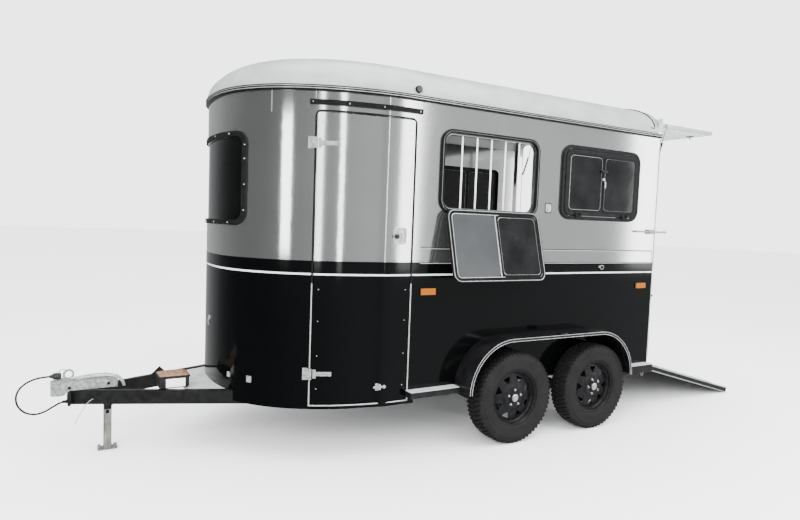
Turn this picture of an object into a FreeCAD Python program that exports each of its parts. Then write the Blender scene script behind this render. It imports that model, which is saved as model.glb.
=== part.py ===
"""Two-horse trailer with a rounded nose, a rear ramp, a top-hung rear canopy and tandem axles.

Millimetres.  +X is the trailer's left side, +Y its rear, +Z up, and the floor it stands on is z = 0.
Pieces are drawn with y = 0 midway between the axles; each sub-part's Placement then moves it back or
forward so that the origin is under the middle of the whole trailer's box.
"""
import FreeCAD
import Part

import math
import os
import re
from types import SimpleNamespace

from FreeCAD import Placement, Rotation, Vector

DIMENSIONS = [
    # body
    ("body_width", 1880, "outside width of the side walls"),
    ("wall", 25, "thickness of every wall panel and of the door"),
    ("rear_y", 1232, "rear face of the body behind the axles' midpoint"),
    ("nose_start", 1300, "where the walls start to curve, ahead of the midpoint"),
    ("nose_depth", 1110, "length of the curved nose"),
    ("nose_power_x", 2.5, "fullness of the nose across"),
    ("nose_power_y", 1.95, "fullness of the nose lengthways"),
    ("nose_panel_end", 1215, "joint between nose and side panels, ahead of the midpoint"),
    ("skirt_bottom", 440, "lower edge of the side walls"),
    ("nose_bottom", 362, "lower edge of the nose wall"),
    ("wall_top", 2475, "upper edge of the walls"),
    ("recess", 18, "depth of the wheel recess in the side walls"),
    ("gutter_height", 36, "height of the drip rail"),
    ("gutter_out", 22, "how far the drip rail stands out"),
    ("roof_out", 12, "how far the roof's rim stands out from the walls"),
    ("roof_rise", 275, "height of the roof's crown over its rim"),
    ("roof_skin", 20, "thickness of the roof"),
    # rear portal
    ("portal_depth", 50, "depth of the rear portal"),
    ("post_width", 65, "width of the rear posts"),
    ("header_bottom", 2545, "top of the rear opening"),
    ("sill_bottom", 352, "lower edge of the rear sill"),
    ("portal_radius", 60, "upper corners of the rear opening"),
    # floor and chassis
    ("floor_thickness", 25, "thickness of the floor"),
    ("beam_bottom", 337, "underside of chassis and drawbar beams"),
    ("beam_height", 95, "height of chassis and drawbar beams"),
    ("beam_width", 50, "width of chassis and drawbar beams"),
    ("rail_outer", 656, "outer face of each chassis rail from the centre line"),
    ("drawbar_join", 1720, "where the drawbar meets the chassis rails, ahead of the midpoint"),
    ("drawbar_tip", 3300, "front end of the drawbar beams, ahead of the midpoint"),
    ("drawbar_tip_half", 23.5, "outer face of each drawbar beam at its tip"),
    ("crossmember_height", 60, "height of crossmembers and outriggers"),
    ("crossmember_width", 50, "width of crossmembers and outriggers"),
    ("outrigger_gap", 60, "gap between the outriggers and the side walls"),
    ("deck_set_back", 680, "drawbar plate's front edge behind the drawbar's tip"),
    ("deck_lap", 200, "how far the drawbar plate runs back under the nose"),
    ("deck_drop", 12, "drawbar plate's underside under the beams' top"),
    ("deck_thickness", 6, "thickness of the drawbar plate"),
    ("play", 0.3, "gap beside pieces that seat on curved or slanted faces"),
    # wheels
    ("axle_spacing", 829, "distance between the axles"),
    ("wheel_radius", 345, "outer radius of the tyres"),
    ("tyre_width", 185, "width of the tyres"),
    ("tyre_shoulder", 38, "rounding of the tyres' shoulders"),
    ("rim_radius", 205, "seat of the tyre on the rim"),
    ("flange_radius", 216, "outer radius of the rim flanges"),
    ("rim_width", 150, "distance over the rim flanges"),
    ("wheel_out", 82, "middle plane of the wheels outside the side walls"),
    ("spindle_radius", 20, "radius of the stub axles"),
    ("spindle_play", 0.05, "radial running clearance on the stub axles"),
    ("drum_radius", 118, "radius of brake drums and backing plates"),
    ("drum_depth", 88, "inner edge of the brake drums from the wheels' middle plane"),
    ("drum_wall", 14, "wall of the brake drums"),
    ("drum_plate", 5, "thickness of the backing plates"),
    ("drum_gap", 5.5, "gap between drum and backing plate"),
    ("flange_thickness", 8, "thickness of the rim flanges"),
    ("rim_skin", 9, "thickness of the rim barrel"),
    ("face_set", 18, "wheel's face outside its middle plane"),
    ("face_thickness", 9, "thickness of the wheel's face"),
    ("hub_radius", 58, "radius of the hubs"),
    ("hub_out", 60, "outer end of the hubs from the wheels' middle plane"),
    ("cap_radius", 30, "radius of the hub caps"),
    ("cap_length", 12, "length of the hub caps"),
    ("hand_hole_radius", 24, "radius of the holes in the wheel's face"),
    ("hand_hole_circle", 145, "radius of the circle that the holes lie on"),
    ("axle_tube", 70, "side of the square axle tube"),
    ("arm_reach", 150, "length of the trailing arms"),
    ("arm_width", 40, "thickness of the trailing arms"),
    ("arm_height", 64, "height of the trailing arms"),
    ("arm_drop", 38, "underside of the trailing arms under the stub axle"),
    ("stub_out", 55, "outer end of the stub axles from the wheels' middle plane"),
    ("arm_set_in", 78, "outer face of the trailing arms inside the side walls' face"),
    # fenders and steps
    ("fender_width", 200, "how far the fenders stand out"),
    ("fender_front", 872, "front end of the fenders, ahead of the midpoint"),
    ("fender_rear", 800, "rear end of the fenders, behind the midpoint"),
    ("fender_top", 805, "top of the fenders"),
    ("fender_radius", 385, "radius of the fenders' ends"),
    ("fender_sheet", 4, "thickness of the fender sheet"),
    ("fender_lip", 38, "height of the fenders' edge"),
    ("step_width", 80, "width of the side steps"),
    ("step_height", 42, "height of the front side steps"),
    ("step_top", 456, "top of the side steps"),
    ("rear_step_height", 66, "height of the rear side steps"),
    ("rear_step_drop", 10, "top of the rear side steps under that of the front ones"),
    ("step_front", 1280, "front end of the side steps, ahead of the midpoint"),
    ("step_rear", 1210, "rear end of the side steps, behind the midpoint"),
    # windows
    ("window_length", 895, "outside length of the window frames"),
    ("window_height", 585, "outside height of the window frames"),
    ("window_bottom", 1695, "lower edge of the window frames"),
    ("window_radius", 95, "outside corner radius of the window frames"),
    ("front_window_y", -616, "middle of the front side windows"),
    ("rear_window_y", 523, "middle of the rear side windows"),
    ("frame_face", 25, "face width of the window frames"),
    ("frame_out", 18, "how far the window frames stand out"),
    ("frame_seat", 12, "ledge of wall inside each window frame"),
    ("sash_gap", 6, "gap round each window sash"),
    ("sash_thickness", 16, "thickness of the window sashes"),
    ("sash_face", 34, "face width of the sashes' own frames"),
    ("sash_pivot_out", 8, "window pivot outside the sash's outer face"),
    ("sash_open_angle", 165, "opening angle of the window sashes"),
    ("sash_set", 3, "sash's outer face outside its frame's"),
    ("sash_recess", 5, "depth of the panes in the sashes"),
    ("sash_pane_radius", 30, "corner radius of the panes"),
    ("window_barrel", 5, "radius of the window hinges' barrels"),
    ("window_lug", 40, "length of the window hinges' fixed lugs"),
    ("window_tab", 13, "length of the window hinges' moving tabs"),
    ("bar_pitch", 130, "spacing of the window bars"),
    ("bar_radius", 6, "radius of the window bars"),
    ("nose_window_half", 500, "half width of the nose window's frame"),
    ("nose_window_bottom", 1560, "lower edge of the nose window's frame"),
    ("nose_window_top", 2185, "upper edge of the nose window's frame"),
    ("nose_window_face", 34, "face width of the nose window's frame"),
    ("nose_glass", 8, "thickness of the nose window"),
    # groom door
    ("door_front", 1930, "hinge edge of the door opening, ahead of the midpoint"),
    ("door_rear", 1272, "lock edge of the door opening, ahead of the midpoint"),
    ("door_bottom", 395, "lower edge of the door opening"),
    ("door_top", 2310, "upper edge of the door opening"),
    ("door_gap", 5, "gap round the door"),
    ("door_pivot_out", 16, "door pivot outside the wall"),
    ("hinge_radius", 7, "radius of the door hinges' barrels"),
    ("hinge_length", 70, "length of the door hinges' barrels"),
    ("upper_hinge_z", 2110, "middle of the upper door hinge"),
    ("lower_hinge_z", 600, "middle of the lower door hinge"),
    # ramp and canopy
    ("ramp_length", 1355, "ramp from its pivot to its free edge"),
    ("ramp_set_in", 75, "edges of ramp and canopy inside the side walls' face"),
    ("ramp_over", 40, "ramp's upper face over its pivot"),
    ("ramp_under", 10, "ramp's lower face under its pivot"),
    ("ramp_start", 20, "gap from the ramp's pivot to its edge"),
    ("ramp_pivot_back", 53, "ramp's pivot behind the body"),
    ("ramp_pivot_z", 375, "height of the ramp's pivot"),
    ("canopy_length", 805, "canopy from its pivot to its free edge"),
    ("canopy_thickness", 30, "thickness of the canopy"),
    ("canopy_pivot_back", 30, "canopy's pivot behind the body"),
    ("canopy_pivot_z", 2580, "height of the canopy's pivot"),
    ("canopy_over", 10, "open canopy's upper face over its pivot"),
    ("canopy_start", 16, "gap from the canopy's pivot to its edge"),
    ("ramp_frame", 45, "width of the frame under the ramp"),
    ("ramp_skin", 22, "thickness of the ramp's board"),
    ("ramp_rib", 40, "width of the ribs under the ramp"),
    ("pivot_radius", 9, "radius of ramp and canopy hinge barrels"),
    ("strut_set_in", 55, "plane of the gas struts inside the side walls' face"),
    ("strut_foot_z", 2225, "height of the struts' lower pin"),
    ("strut_grip", 120, "canopy pivot to the struts' upper pin"),
    ("strut_radius", 9, "radius of the struts' cylinders"),
    ("strut_rod", 4, "radius of the struts' rods"),
    ("strut_cylinder", 200, "length of the struts' cylinders from the lower pin"),
    ("strut_rod_length", 195, "length of the struts' rods from the upper eye"),
    ("strut_pin", 4, "radius of the struts' pins"),
    ("strut_lug", 18, "width of the struts' brackets"),
    ("strut_lug_gap", 4, "gap between strut eye and bracket"),
    ("strut_lug_height", 24, "height of the struts' brackets"),
    ("strut_foot_eye", 10, "radius of the struts' lower eyes"),
    ("strut_head_eye", 8, "radius of the struts' upper eyes"),
    ("strut_stud", 5, "radius of the canopy's strut studs"),
    ("strut_eye", 16, "width of the struts' eyes"),
    # front end
    ("coupling_nose", 3418, "front end of the coupling, ahead of the midpoint"),
    ("coupling_rear", 3020, "rear end of the coupling, ahead of the midpoint"),
    ("coupling_half", 38, "half width of the coupling"),
    ("coupling_height", 70, "height of the coupling over the drawbar"),
    ("coupling_head_drop", 6, "top of the coupling's head under its body's"),
    ("lever_x", 22, "brake lever's distance from the centre line"),
    ("lever_radius", 9, "radius of the brake lever"),
    ("lever_front", 75, "front end of the brake lever behind the ball"),
    ("lever_rear", 40, "bend of the brake lever ahead of the coupling's rear end"),
    ("handle_x", 24, "coupling handle's right face from the centre line"),
    ("handle_radius", 34, "outer radius of the coupling handle"),
    ("handle_bar", 12, "width of the coupling handle's loop"),
    ("handle_thickness", 8, "thickness of the coupling handle"),
    ("handle_back", 62, "coupling handle's centre behind the ball"),
    ("handle_rise", 28, "coupling handle's centre over the coupling"),
    ("nose_block_width", 128, "width of the drawbar's nose"),
    ("nose_block_length", 20, "thickness of the drawbar's nose"),
    ("nose_block_drop", 8, "top of the drawbar's nose under the beams' top"),
    ("battery_x", 60, "battery box's right face from the centre line"),
    ("battery_front", 2785, "battery box's front face ahead of the midpoint"),
    ("battery_width", 170, "width of the battery box"),
    ("battery_length", 200, "length of the battery box"),
    ("battery_height", 92, "height of the battery box under its lid"),
    ("battery_lid", 10, "thickness of the battery box's lid"),
    ("battery_lip", 3, "how far the lid stands out"),
    ("wedge_y", 2720, "drawbar bracket's tip ahead of the midpoint"),
    ("wedge_half", 55, "half length and height of the drawbar bracket"),
    ("wedge_thickness", 8, "thickness of the drawbar bracket"),
    ("socket_radius", 25.2, "radius of the ball socket"),
    ("socket_depth", 40, "depth of the ball socket's straight wall"),
    ("ball_y", 3375, "ball's centre ahead of the midpoint"),
    ("socket_mouth_z", 402, "height of the ball socket's mouth"),
    ("stand_y", 3080, "stand's pivot ahead of the midpoint"),
    ("stand_pivot_z", 295, "height of the stand's pivot"),
    ("stand_leg", 48, "side of the stand's square leg"),
    ("stand_head_half", 105, "half width of the stand's head plate"),
    ("stand_head", 10, "thickness of the stand's head plate"),
    ("stand_cheek", 6, "thickness of the stand's cheeks"),
    ("stand_gap", 5, "gap between the stand's leg and its cheeks"),
    ("stand_cheek_drop", 14, "how far the cheeks reach under the pivot"),
    ("stand_pin", 8, "radius of the stand's pin"),
    ("stand_top", 10, "how far the leg reaches over the pivot"),
    ("foot_over", 12, "how far the stand's foot stands out beside the leg"),
    ("foot_thickness", 8, "thickness of the stand's foot"),
    ("foot_length", 120, "length of the stand's foot"),
    ("lead_diameter", 12, "diameter of the electric lead"),
    ("plug_radius", 22, "radius of the lead's plug"),
    ("plug_length", 70, "length of the lead's plug"),
    # inside and small outside pieces
    ("divider_front", 900, "front end of the divider ahead of the midpoint"),
    ("divider_low", 850, "lower edge of the divider's board"),
    ("divider_height", 900, "height of the divider's board"),
    ("divider_thickness", 24, "thickness of the divider's board"),
    ("post_radius", 18, "radius of the divider's posts"),
    ("breast_bar_radius", 20, "radius of the breast bars"),
    ("breast_bar_z", 1150, "height of the breast bars"),
    ("vent_y", 620, "roof vent's middle ahead of the midpoint"),
    ("vent_radius", 75, "radius of the roof vent"),
    ("vent_height", 32, "height of the roof vent"),
    ("side_lamp_length", 118, "length of the side lamps"),
    ("side_lamp_height", 45, "height of the side lamps"),
    ("side_lamp_z", 1120, "lower edge of the side lamps"),
    ("side_lamp_out", 14, "how far the side lamps stand out"),
    ("roof_lamp_radius", 20, "radius of the roof lamps"),
    ("roof_lamp_length", 22, "length of the roof lamps"),
    ("roof_lamp_y", 1270, "roof lamps ahead of the midpoint"),
    ("roof_lamp_z", 2512, "height of the roof lamps"),
    ("tail_lamp_width", 48, "width of the tail lamps"),
    ("tail_lamp_height", 180, "height of the tail lamps"),
    ("tail_lamp_out", 20, "how far the tail lamps stand out"),
    ("tail_lamp_edge", 56, "tail lamps' inner edge from the side wall's face"),
    ("tail_lamp_z", 500, "lower edge of the tail lamps"),
    ("latch_radius", 8, "radius of the ramp latches' bars"),
    ("latch_length", 400, "length of the ramp latches' bars"),
    ("latch_out", 16, "ramp latches' bars outside the walls"),
    ("latch_y", 960, "front end of the ramp latches behind the midpoint"),
    ("latch_drop", 80, "ramp latches under the window frames"),
    ("latch_mount_y", 1130, "front end of the latches' mounts behind the midpoint"),
    ("latch_mount_length", 70, "length of the latches' mounts"),
    ("latch_mount_height", 40, "height of the latches' mounts"),
    ("latch_mount_out", 24, "how far the latches' mounts stand out"),
]

doc = FreeCAD.newDocument("horse_trailer")
sheet = doc.addObject("Spreadsheet::Sheet", "dims")
for row, (alias, value, meaning) in enumerate(DIMENSIONS, 1):
    sheet.set(f"A{row}", str(value))
    sheet.setAlias(f"A{row}", alias)
    sheet.set(f"B{row}", meaning)
doc.recompute()
ALIASES = {alias for alias, _, _ in DIMENSIONS}
D = SimpleNamespace(**{alias: float(getattr(sheet, alias)) for alias in ALIASES})
TIED = {                                   # places that follow from the sheet's sizes
    "wheel_centre": "(body_width / 2 + wheel_out)",
    "arm_outer": "(body_width / 2 - arm_set_in)",
    "ramp_half": "(body_width / 2 - ramp_set_in)",
    "strut_x": "(body_width / 2 - strut_set_in)",
    "latch_z": "(window_bottom - latch_drop)",
}
D.ramp_half = D.body_width / 2 - D.ramp_set_in
D.strut_x = D.body_width / 2 - D.strut_set_in
NODES = {}
HINGE_STARTS = (-760, -260, 200, 700)      # where the fixed knuckles of ramp and canopy start
HINGE_LENGTH = 60
KNUCKLE_PLAY = 0.4
TAB_LENGTH = 40                            # moving knuckles of ramp and canopy
WINDOW_HINGES = (-270, 270)                # middles of the window hinges
CROSSMEMBERS = (("nose", -1620), ("front", -950), ("middle", -50), ("rear", 900))
RAMP_RIBS = (-430, 0, 430)
SIDE_LAMPS = (-1188, 1018)                 # front ends of the side lamps
HAND_HOLES = 8
BARS = 5
PAST = 5                                   # how far cutting shapes reach past what they cut

LIFT_ANGLE = ("(asin(ramp_pivot_z / sqrt(ramp_length ^ 2 + ramp_under ^ 2))"
              " - atan(ramp_under / ramp_length))")
RAMP_END = (f"(rear_y + ramp_pivot_back + ramp_length * cos({LIFT_ANGLE})"
            f" + ramp_over * sin({LIFT_ANGLE}))")


# ---------------------------------------------------------------- helpers
def bind(formula):
    """A formula in the sheet's names, written the way FreeCAD reads it."""
    def cell(word):
        name = word.group()
        if name in TIED:
            return bind(TIED[name])
        return "dims." + name if name in ALIASES else name
    return re.sub(r"[a-z][a-z_]*", cell, str(formula))


def place(piece, corner):
    for letter, formula in zip("xyz", corner):
        piece.setExpression(f"Placement.Base.{letter}", bind(formula))
    return piece


def turned(piece, axis, angle):
    piece.Placement.Rotation = Rotation(axis, 90)
    piece.setExpression("Placement.Rotation.Angle", bind(angle))
    return piece


def box(name, sizes, corner):
    piece = doc.addObject("Part::Box", name)
    for side, formula in zip(("Length", "Width", "Height"), sizes):
        piece.setExpression(side, bind(formula))
    return place(piece, corner)


def cylinder(name, radius, length, start, axis="z"):
    """A cylinder that runs from start along the plus side of an axis."""
    piece = doc.addObject("Part::Cylinder", name)
    piece.setExpression("Radius", bind(radius))
    piece.setExpression("Height", bind(length))
    if axis == "x":
        piece.Placement.Rotation = Rotation(Vector(0, 1, 0), 90)
    if axis == "y":
        piece.Placement.Rotation = Rotation(Vector(1, 0, 0), -90)
    return place(piece, start)


def feature(name, shape):
    piece = doc.addObject("Part::Feature", name)
    piece.Shape = shape
    return piece


def fuse(name, *pieces):
    whole = doc.addObject("Part::MultiFuse", name)
    whole.Shapes = list(pieces)
    return whole


def cut(name, base, *tools):
    rest = doc.addObject("Part::Cut", name)
    rest.Base = base
    rest.Tool = tools[0] if len(tools) == 1 else fuse(name + "_tools", *tools)
    return rest


def mirrored(name, piece):
    """The same piece on the right-hand side."""
    other = doc.addObject("Part::Mirroring", name)
    other.Source = piece
    other.Base = Vector(0, 0, 0)
    other.Normal = Vector(1, 0, 0)
    return other


def group(name, *pieces):
    whole = doc.addObject("Part::Compound", name)
    whole.Links = list(pieces)
    return whole


def node(label, *pieces):
    """A finished sub-part: its pieces, moved to the trailer's own origin."""
    whole = group(label, *pieces)
    whole.Label = label
    whole.setExpression("Placement.Base.y", bind(f"(coupling_nose - {RAMP_END}) / 2"))
    NODES[label] = whole
    return whole


def left_and_right(kind, *pieces):
    """Two sub-parts, the left one from these pieces and the right one mirrored."""
    node("left_" + kind, *pieces)
    twins = [mirrored(piece.Name + "_twin", piece) for piece in pieces]
    node("right_" + kind, *twins)


# ---------------------------------------------------------------- outlines
NOSE_STEPS = 16


def nose_point(turn, inset):
    """A point of the nose in plan: turn runs from 0 on the right to pi on the left."""
    across, ahead = math.cos(turn), math.sin(turn)
    half = D.body_width / 2 - inset
    x = -half * math.copysign(abs(across) ** (2 / D.nose_power_x), across)
    y = -D.nose_start - (D.nose_depth - inset) * abs(ahead) ** (2 / D.nose_power_y)
    return x, y


def outline(inset, rear, z, share=1.0):
    """Closed plan outline of the body, shrunk by inset and then drawn in to a share of its size."""
    points = []
    for step in range(NOSE_STEPS + 1):
        x, y = nose_point(math.pi * step / NOSE_STEPS, inset)
        points.append(Vector(x * share, -D.nose_start + (y + D.nose_start) * share, z))
    nose = Part.BSplineCurve()
    nose.interpolate(Points=points, InitialTangent=Vector(0, -1, 0), FinalTangent=Vector(0, 1, 0))
    right = Vector(points[0].x, rear, z)
    left = Vector(points[-1].x, rear, z)
    return Part.Wire([Part.makeLine(right, points[0]), nose.toShape(),
                      Part.makeLine(points[-1], left), Part.makeLine(left, right)])


def prism(inset, rear, low, high):
    return Part.Face(outline(inset, rear, low)).extrude(Vector(0, 0, high - low))


def slab(low, high):
    """A plain block between two corners."""
    size = [b - a for a, b in zip(low, high)]
    return Part.makeBox(*size, Vector(*low))


def rounded(y_low, y_high, z_low, z_high, radius, x_low, x_high):
    """A rounded rectangle in the side plane, from x_low to x_high."""
    block = slab((x_low, y_low, z_low), (x_high, y_high, z_high))
    edges = [e for e in block.Edges if abs(e.tangentAt(e.FirstParameter).x) > 0.99]
    return block.makeFillet(radius, edges)


def beam_edge(y, inset=0.0):
    """x of the left drawbar beam's outer face at y, or of a line inset from it."""
    run = D.drawbar_tip - D.drawbar_join
    slope = (D.rail_outer - D.drawbar_tip_half) / run
    return D.drawbar_tip_half + slope * (y + D.drawbar_tip) - inset * math.hypot(1, slope)


def beam_plan(outer, inner, y_low, y_high, z_low, z_high):
    """A block along the left drawbar beam, between two insets from its outer face."""
    corners = [(beam_edge(y_low, outer), y_low), (beam_edge(y_high, outer), y_high),
               (beam_edge(y_high, inner), y_high), (beam_edge(y_low, inner), y_low)]
    corners = [Vector(max(x, D.play / 2), y, z_low) for x, y in corners]
    face = Part.Face(Part.makePolygon(corners + corners[:1]))
    return face.extrude(Vector(0, 0, z_high - z_low))


# ---------------------------------------------------------------- chassis and drawbar
def chassis():
    rail = box("rail", ("beam_width", "drawbar_join + rear_y - portal_depth", "beam_height"),
               ("rail_outer - beam_width", "-drawbar_join", "beam_bottom"))
    node("chassis_rails", rail, mirrored("rail_twin", rail))
    bars = []
    for place_name, y in CROSSMEMBERS:
        low = "beam_bottom + beam_height - crossmember_height"
        size = ("2 * (rail_outer - beam_width)", "crossmember_width", "crossmember_height")
        bars.append(box(f"crossmember_{place_name}", size, ("beam_width - rail_outer", y, low)))
        outrigger = box(f"outrigger_{place_name}",
                        ("body_width / 2 - wall - rail_outer - outrigger_gap", "crossmember_width",
                         "crossmember_height"), ("rail_outer", y, low))
        bars += [outrigger, mirrored(f"outrigger_{place_name}_twin", outrigger)]
    node("crossmembers", *bars)
    top = D.beam_bottom + D.beam_height
    floor = prism(D.wall + D.play, D.rear_y - D.portal_depth, top, top + D.floor_thickness)
    node("floor", feature("floor_board", floor))


def drawbar():
    top = D.beam_bottom + D.beam_height
    beam = beam_plan(0, D.beam_width, -D.drawbar_tip, -D.drawbar_join, D.beam_bottom, top)
    left_and_right("drawbar_beam", feature("beam", beam))
    front, rear = -D.drawbar_tip + D.deck_set_back, -D.nose_start - D.nose_depth + D.deck_lap
    inner = D.beam_width + D.play
    corners = [(beam_edge(front, inner), front), (beam_edge(rear, inner), rear),
               (-beam_edge(rear, inner), rear), (-beam_edge(front, inner), front)]
    corners = [Vector(x, y, top - D.deck_drop) for x, y in corners]
    plate = Part.Face(Part.makePolygon(corners + corners[:1])).extrude(Vector(0, 0, D.deck_thickness))
    plate = plate.cut(prism(-D.play, 0, D.beam_bottom, top + PAST))
    node("drawbar_plate", feature("plate", plate))


def front_end():
    """Coupling with its levers, the drawbar's nose, and what stands on the drawbar."""
    top = "beam_bottom + beam_height"
    body = box("coupling_body", ("2 * coupling_half", "ball_y - coupling_rear", "coupling_height"),
               ("-coupling_half", "-ball_y", top))
    head = cylinder("coupling_head", "coupling_nose - ball_y",
                    f"{top} + coupling_height - coupling_head_drop - socket_mouth_z",
                    (0, "-ball_y", "socket_mouth_z"))
    socket = cylinder("ball_socket", "socket_radius", "socket_depth",
                      (0, "-ball_y", "socket_mouth_z"))
    dome = doc.addObject("Part::Sphere", "socket_dome")
    dome.setExpression("Radius", bind("socket_radius"))
    place(dome, (0, "-ball_y", "socket_mouth_z + socket_depth"))
    node("coupling", cut("coupling_shell", fuse("coupling_blank", body, head), socket, dome))

    node("drawbar_nose", box("nose_block", ("nose_block_width", "nose_block_length",
                                            "beam_height - nose_block_drop"),
                             ("-nose_block_width / 2", "-drawbar_tip - nose_block_length",
                              "beam_bottom")))

    beam_top = D.beam_bottom + D.beam_height
    down = D.coupling_height + D.lever_radius
    start = Vector(D.lever_x, -D.ball_y + D.lever_front, beam_top + down)
    bend = Vector(D.lever_x, -D.coupling_rear - D.lever_rear, beam_top + down)
    corner = bend + Vector(0, down, -down)
    middle = bend + Vector(0, down * math.sqrt(0.5), -down * (1 - math.sqrt(0.5)))
    path = Part.Wire([Part.makeLine(start, bend), Part.Arc(bend, middle, corner).toShape()])
    ring = Part.Wire(Part.makeCircle(D.lever_radius, start, Vector(0, 1, 0)))
    lever = path.makePipeShell([ring], True, False)
    lever = lever.cut(slab((-D.coupling_half, -D.drawbar_tip, 0), (D.coupling_half, 0, beam_top)))
    node("brake_lever", feature("lever", lever))

    centre = ("-ball_y + handle_back", f"{top} + coupling_height + handle_rise")
    loop = cylinder("loop_outer", "handle_radius", "handle_thickness", ("-handle_x",) + centre, "x")
    hole = cylinder("loop_inner", "handle_radius - handle_bar", "3 * handle_thickness",
                    ("-handle_x - handle_thickness",) + centre, "x")
    below = box("loop_below", ("4 * handle_radius",) * 3,
                ("-handle_x - 2 * handle_radius", "-ball_y + handle_back - 2 * handle_radius",
                 f"{top} + coupling_height - 4 * handle_radius"))
    node("coupling_handle", cut("loop", loop, hole, below))

    battery = box("battery_case", ("battery_width", "battery_length", "battery_height"),
                  ("battery_x", "-battery_front", top))
    lid = box("battery_top", ("battery_width + 2 * battery_lip", "battery_length + 2 * battery_lip",
                              "battery_lid"),
              ("battery_x - battery_lip", "-battery_front - battery_lip", f"{top} + battery_height"))
    node("battery_box", fuse("battery", battery, lid))

    x = -beam_edge(-D.wedge_y, D.beam_width / 2)
    low, high, half = -D.wedge_y - D.wedge_half, -D.wedge_y + D.wedge_half, D.wedge_half
    wedge = Part.makePolygon([Vector(x, low, beam_top), Vector(x, high, beam_top),
                              Vector(x, -D.wedge_y, beam_top + half), Vector(x, low, beam_top)])
    wedge = Part.Face(wedge).extrude(Vector(D.wedge_thickness, 0, 0))
    node("drawbar_bracket", feature("wedge", wedge))


def stand():
    """A square drop leg on a cross pin, with its foot along the trailer."""
    side = "stand_leg / 2 + stand_gap + stand_cheek"
    cheek = box("cheek", ("stand_cheek", "stand_leg", "beam_bottom - stand_pivot_z + stand_cheek_drop"),
                ("stand_leg / 2 + stand_gap", "-stand_y - stand_leg / 2",
                 "stand_pivot_z - stand_cheek_drop"))
    head = box("stand_head_plate", ("2 * stand_head_half", "stand_leg", "stand_head"),
               ("-stand_head_half", "-stand_y - stand_leg / 2", "beam_bottom - stand_head"))
    pin = cylinder("stand_cross_pin", "stand_pin", f"2 * ({side})",
                   (f"-({side})", "-stand_y", "stand_pivot_z"), "x")
    node("stand_bracket", fuse("bracket", cheek, mirrored("cheek_twin", cheek), head, pin))
    leg = box("leg_tube", ("stand_leg", "stand_leg", "stand_pivot_z + stand_top - foot_thickness"),
              ("-stand_leg / 2", "-stand_y - stand_leg / 2", "foot_thickness"))
    foot = box("foot", ("stand_leg + 2 * foot_over", "foot_length", "foot_thickness"),
               ("-stand_leg / 2 - foot_over", "-stand_y - foot_length / 2", 0))
    bore = cylinder("leg_bore", "stand_pin + spindle_play", f"2 * ({side})",
                    (f"-({side})", "-stand_y", "stand_pivot_z"), "x")
    node("stand_leg", cut("leg", fuse("leg_blank", leg, foot), bore))


# ---------------------------------------------------------------- running gear
def running_gear():
    axles = []
    for name, sign in (("front", "-"), ("rear", "")):
        y = f"{sign}axle_spacing / 2"
        back = f"{y} - arm_reach - axle_tube / 2"
        tube = box(f"{name}_tube", ("2 * (arm_outer - arm_width)", "axle_tube", "axle_tube"),
                   ("arm_width - arm_outer", back, "beam_bottom - axle_tube"))
        arm = box(f"{name}_arm", ("arm_width", "arm_reach + axle_tube / 2 + arm_width", "arm_height"),
                  ("arm_outer - arm_width", back, "wheel_radius - arm_drop"))
        stub = cylinder(f"{name}_stub", "spindle_radius", "wheel_centre + stub_out - arm_outer",
                        ("arm_outer", y, "wheel_radius"), "x")
        plate = cylinder(f"{name}_plate", "drum_radius", "drum_plate",
                         ("wheel_centre - drum_depth - drum_gap - drum_plate", y, "wheel_radius"), "x")
        side = fuse(f"{name}_side", arm, stub, plate)
        axles.append(fuse(f"{name}_whole", tube, side, mirrored(f"{name}_side_twin", side)))
        wheel(name, y)
    node("axles", *axles)


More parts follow.
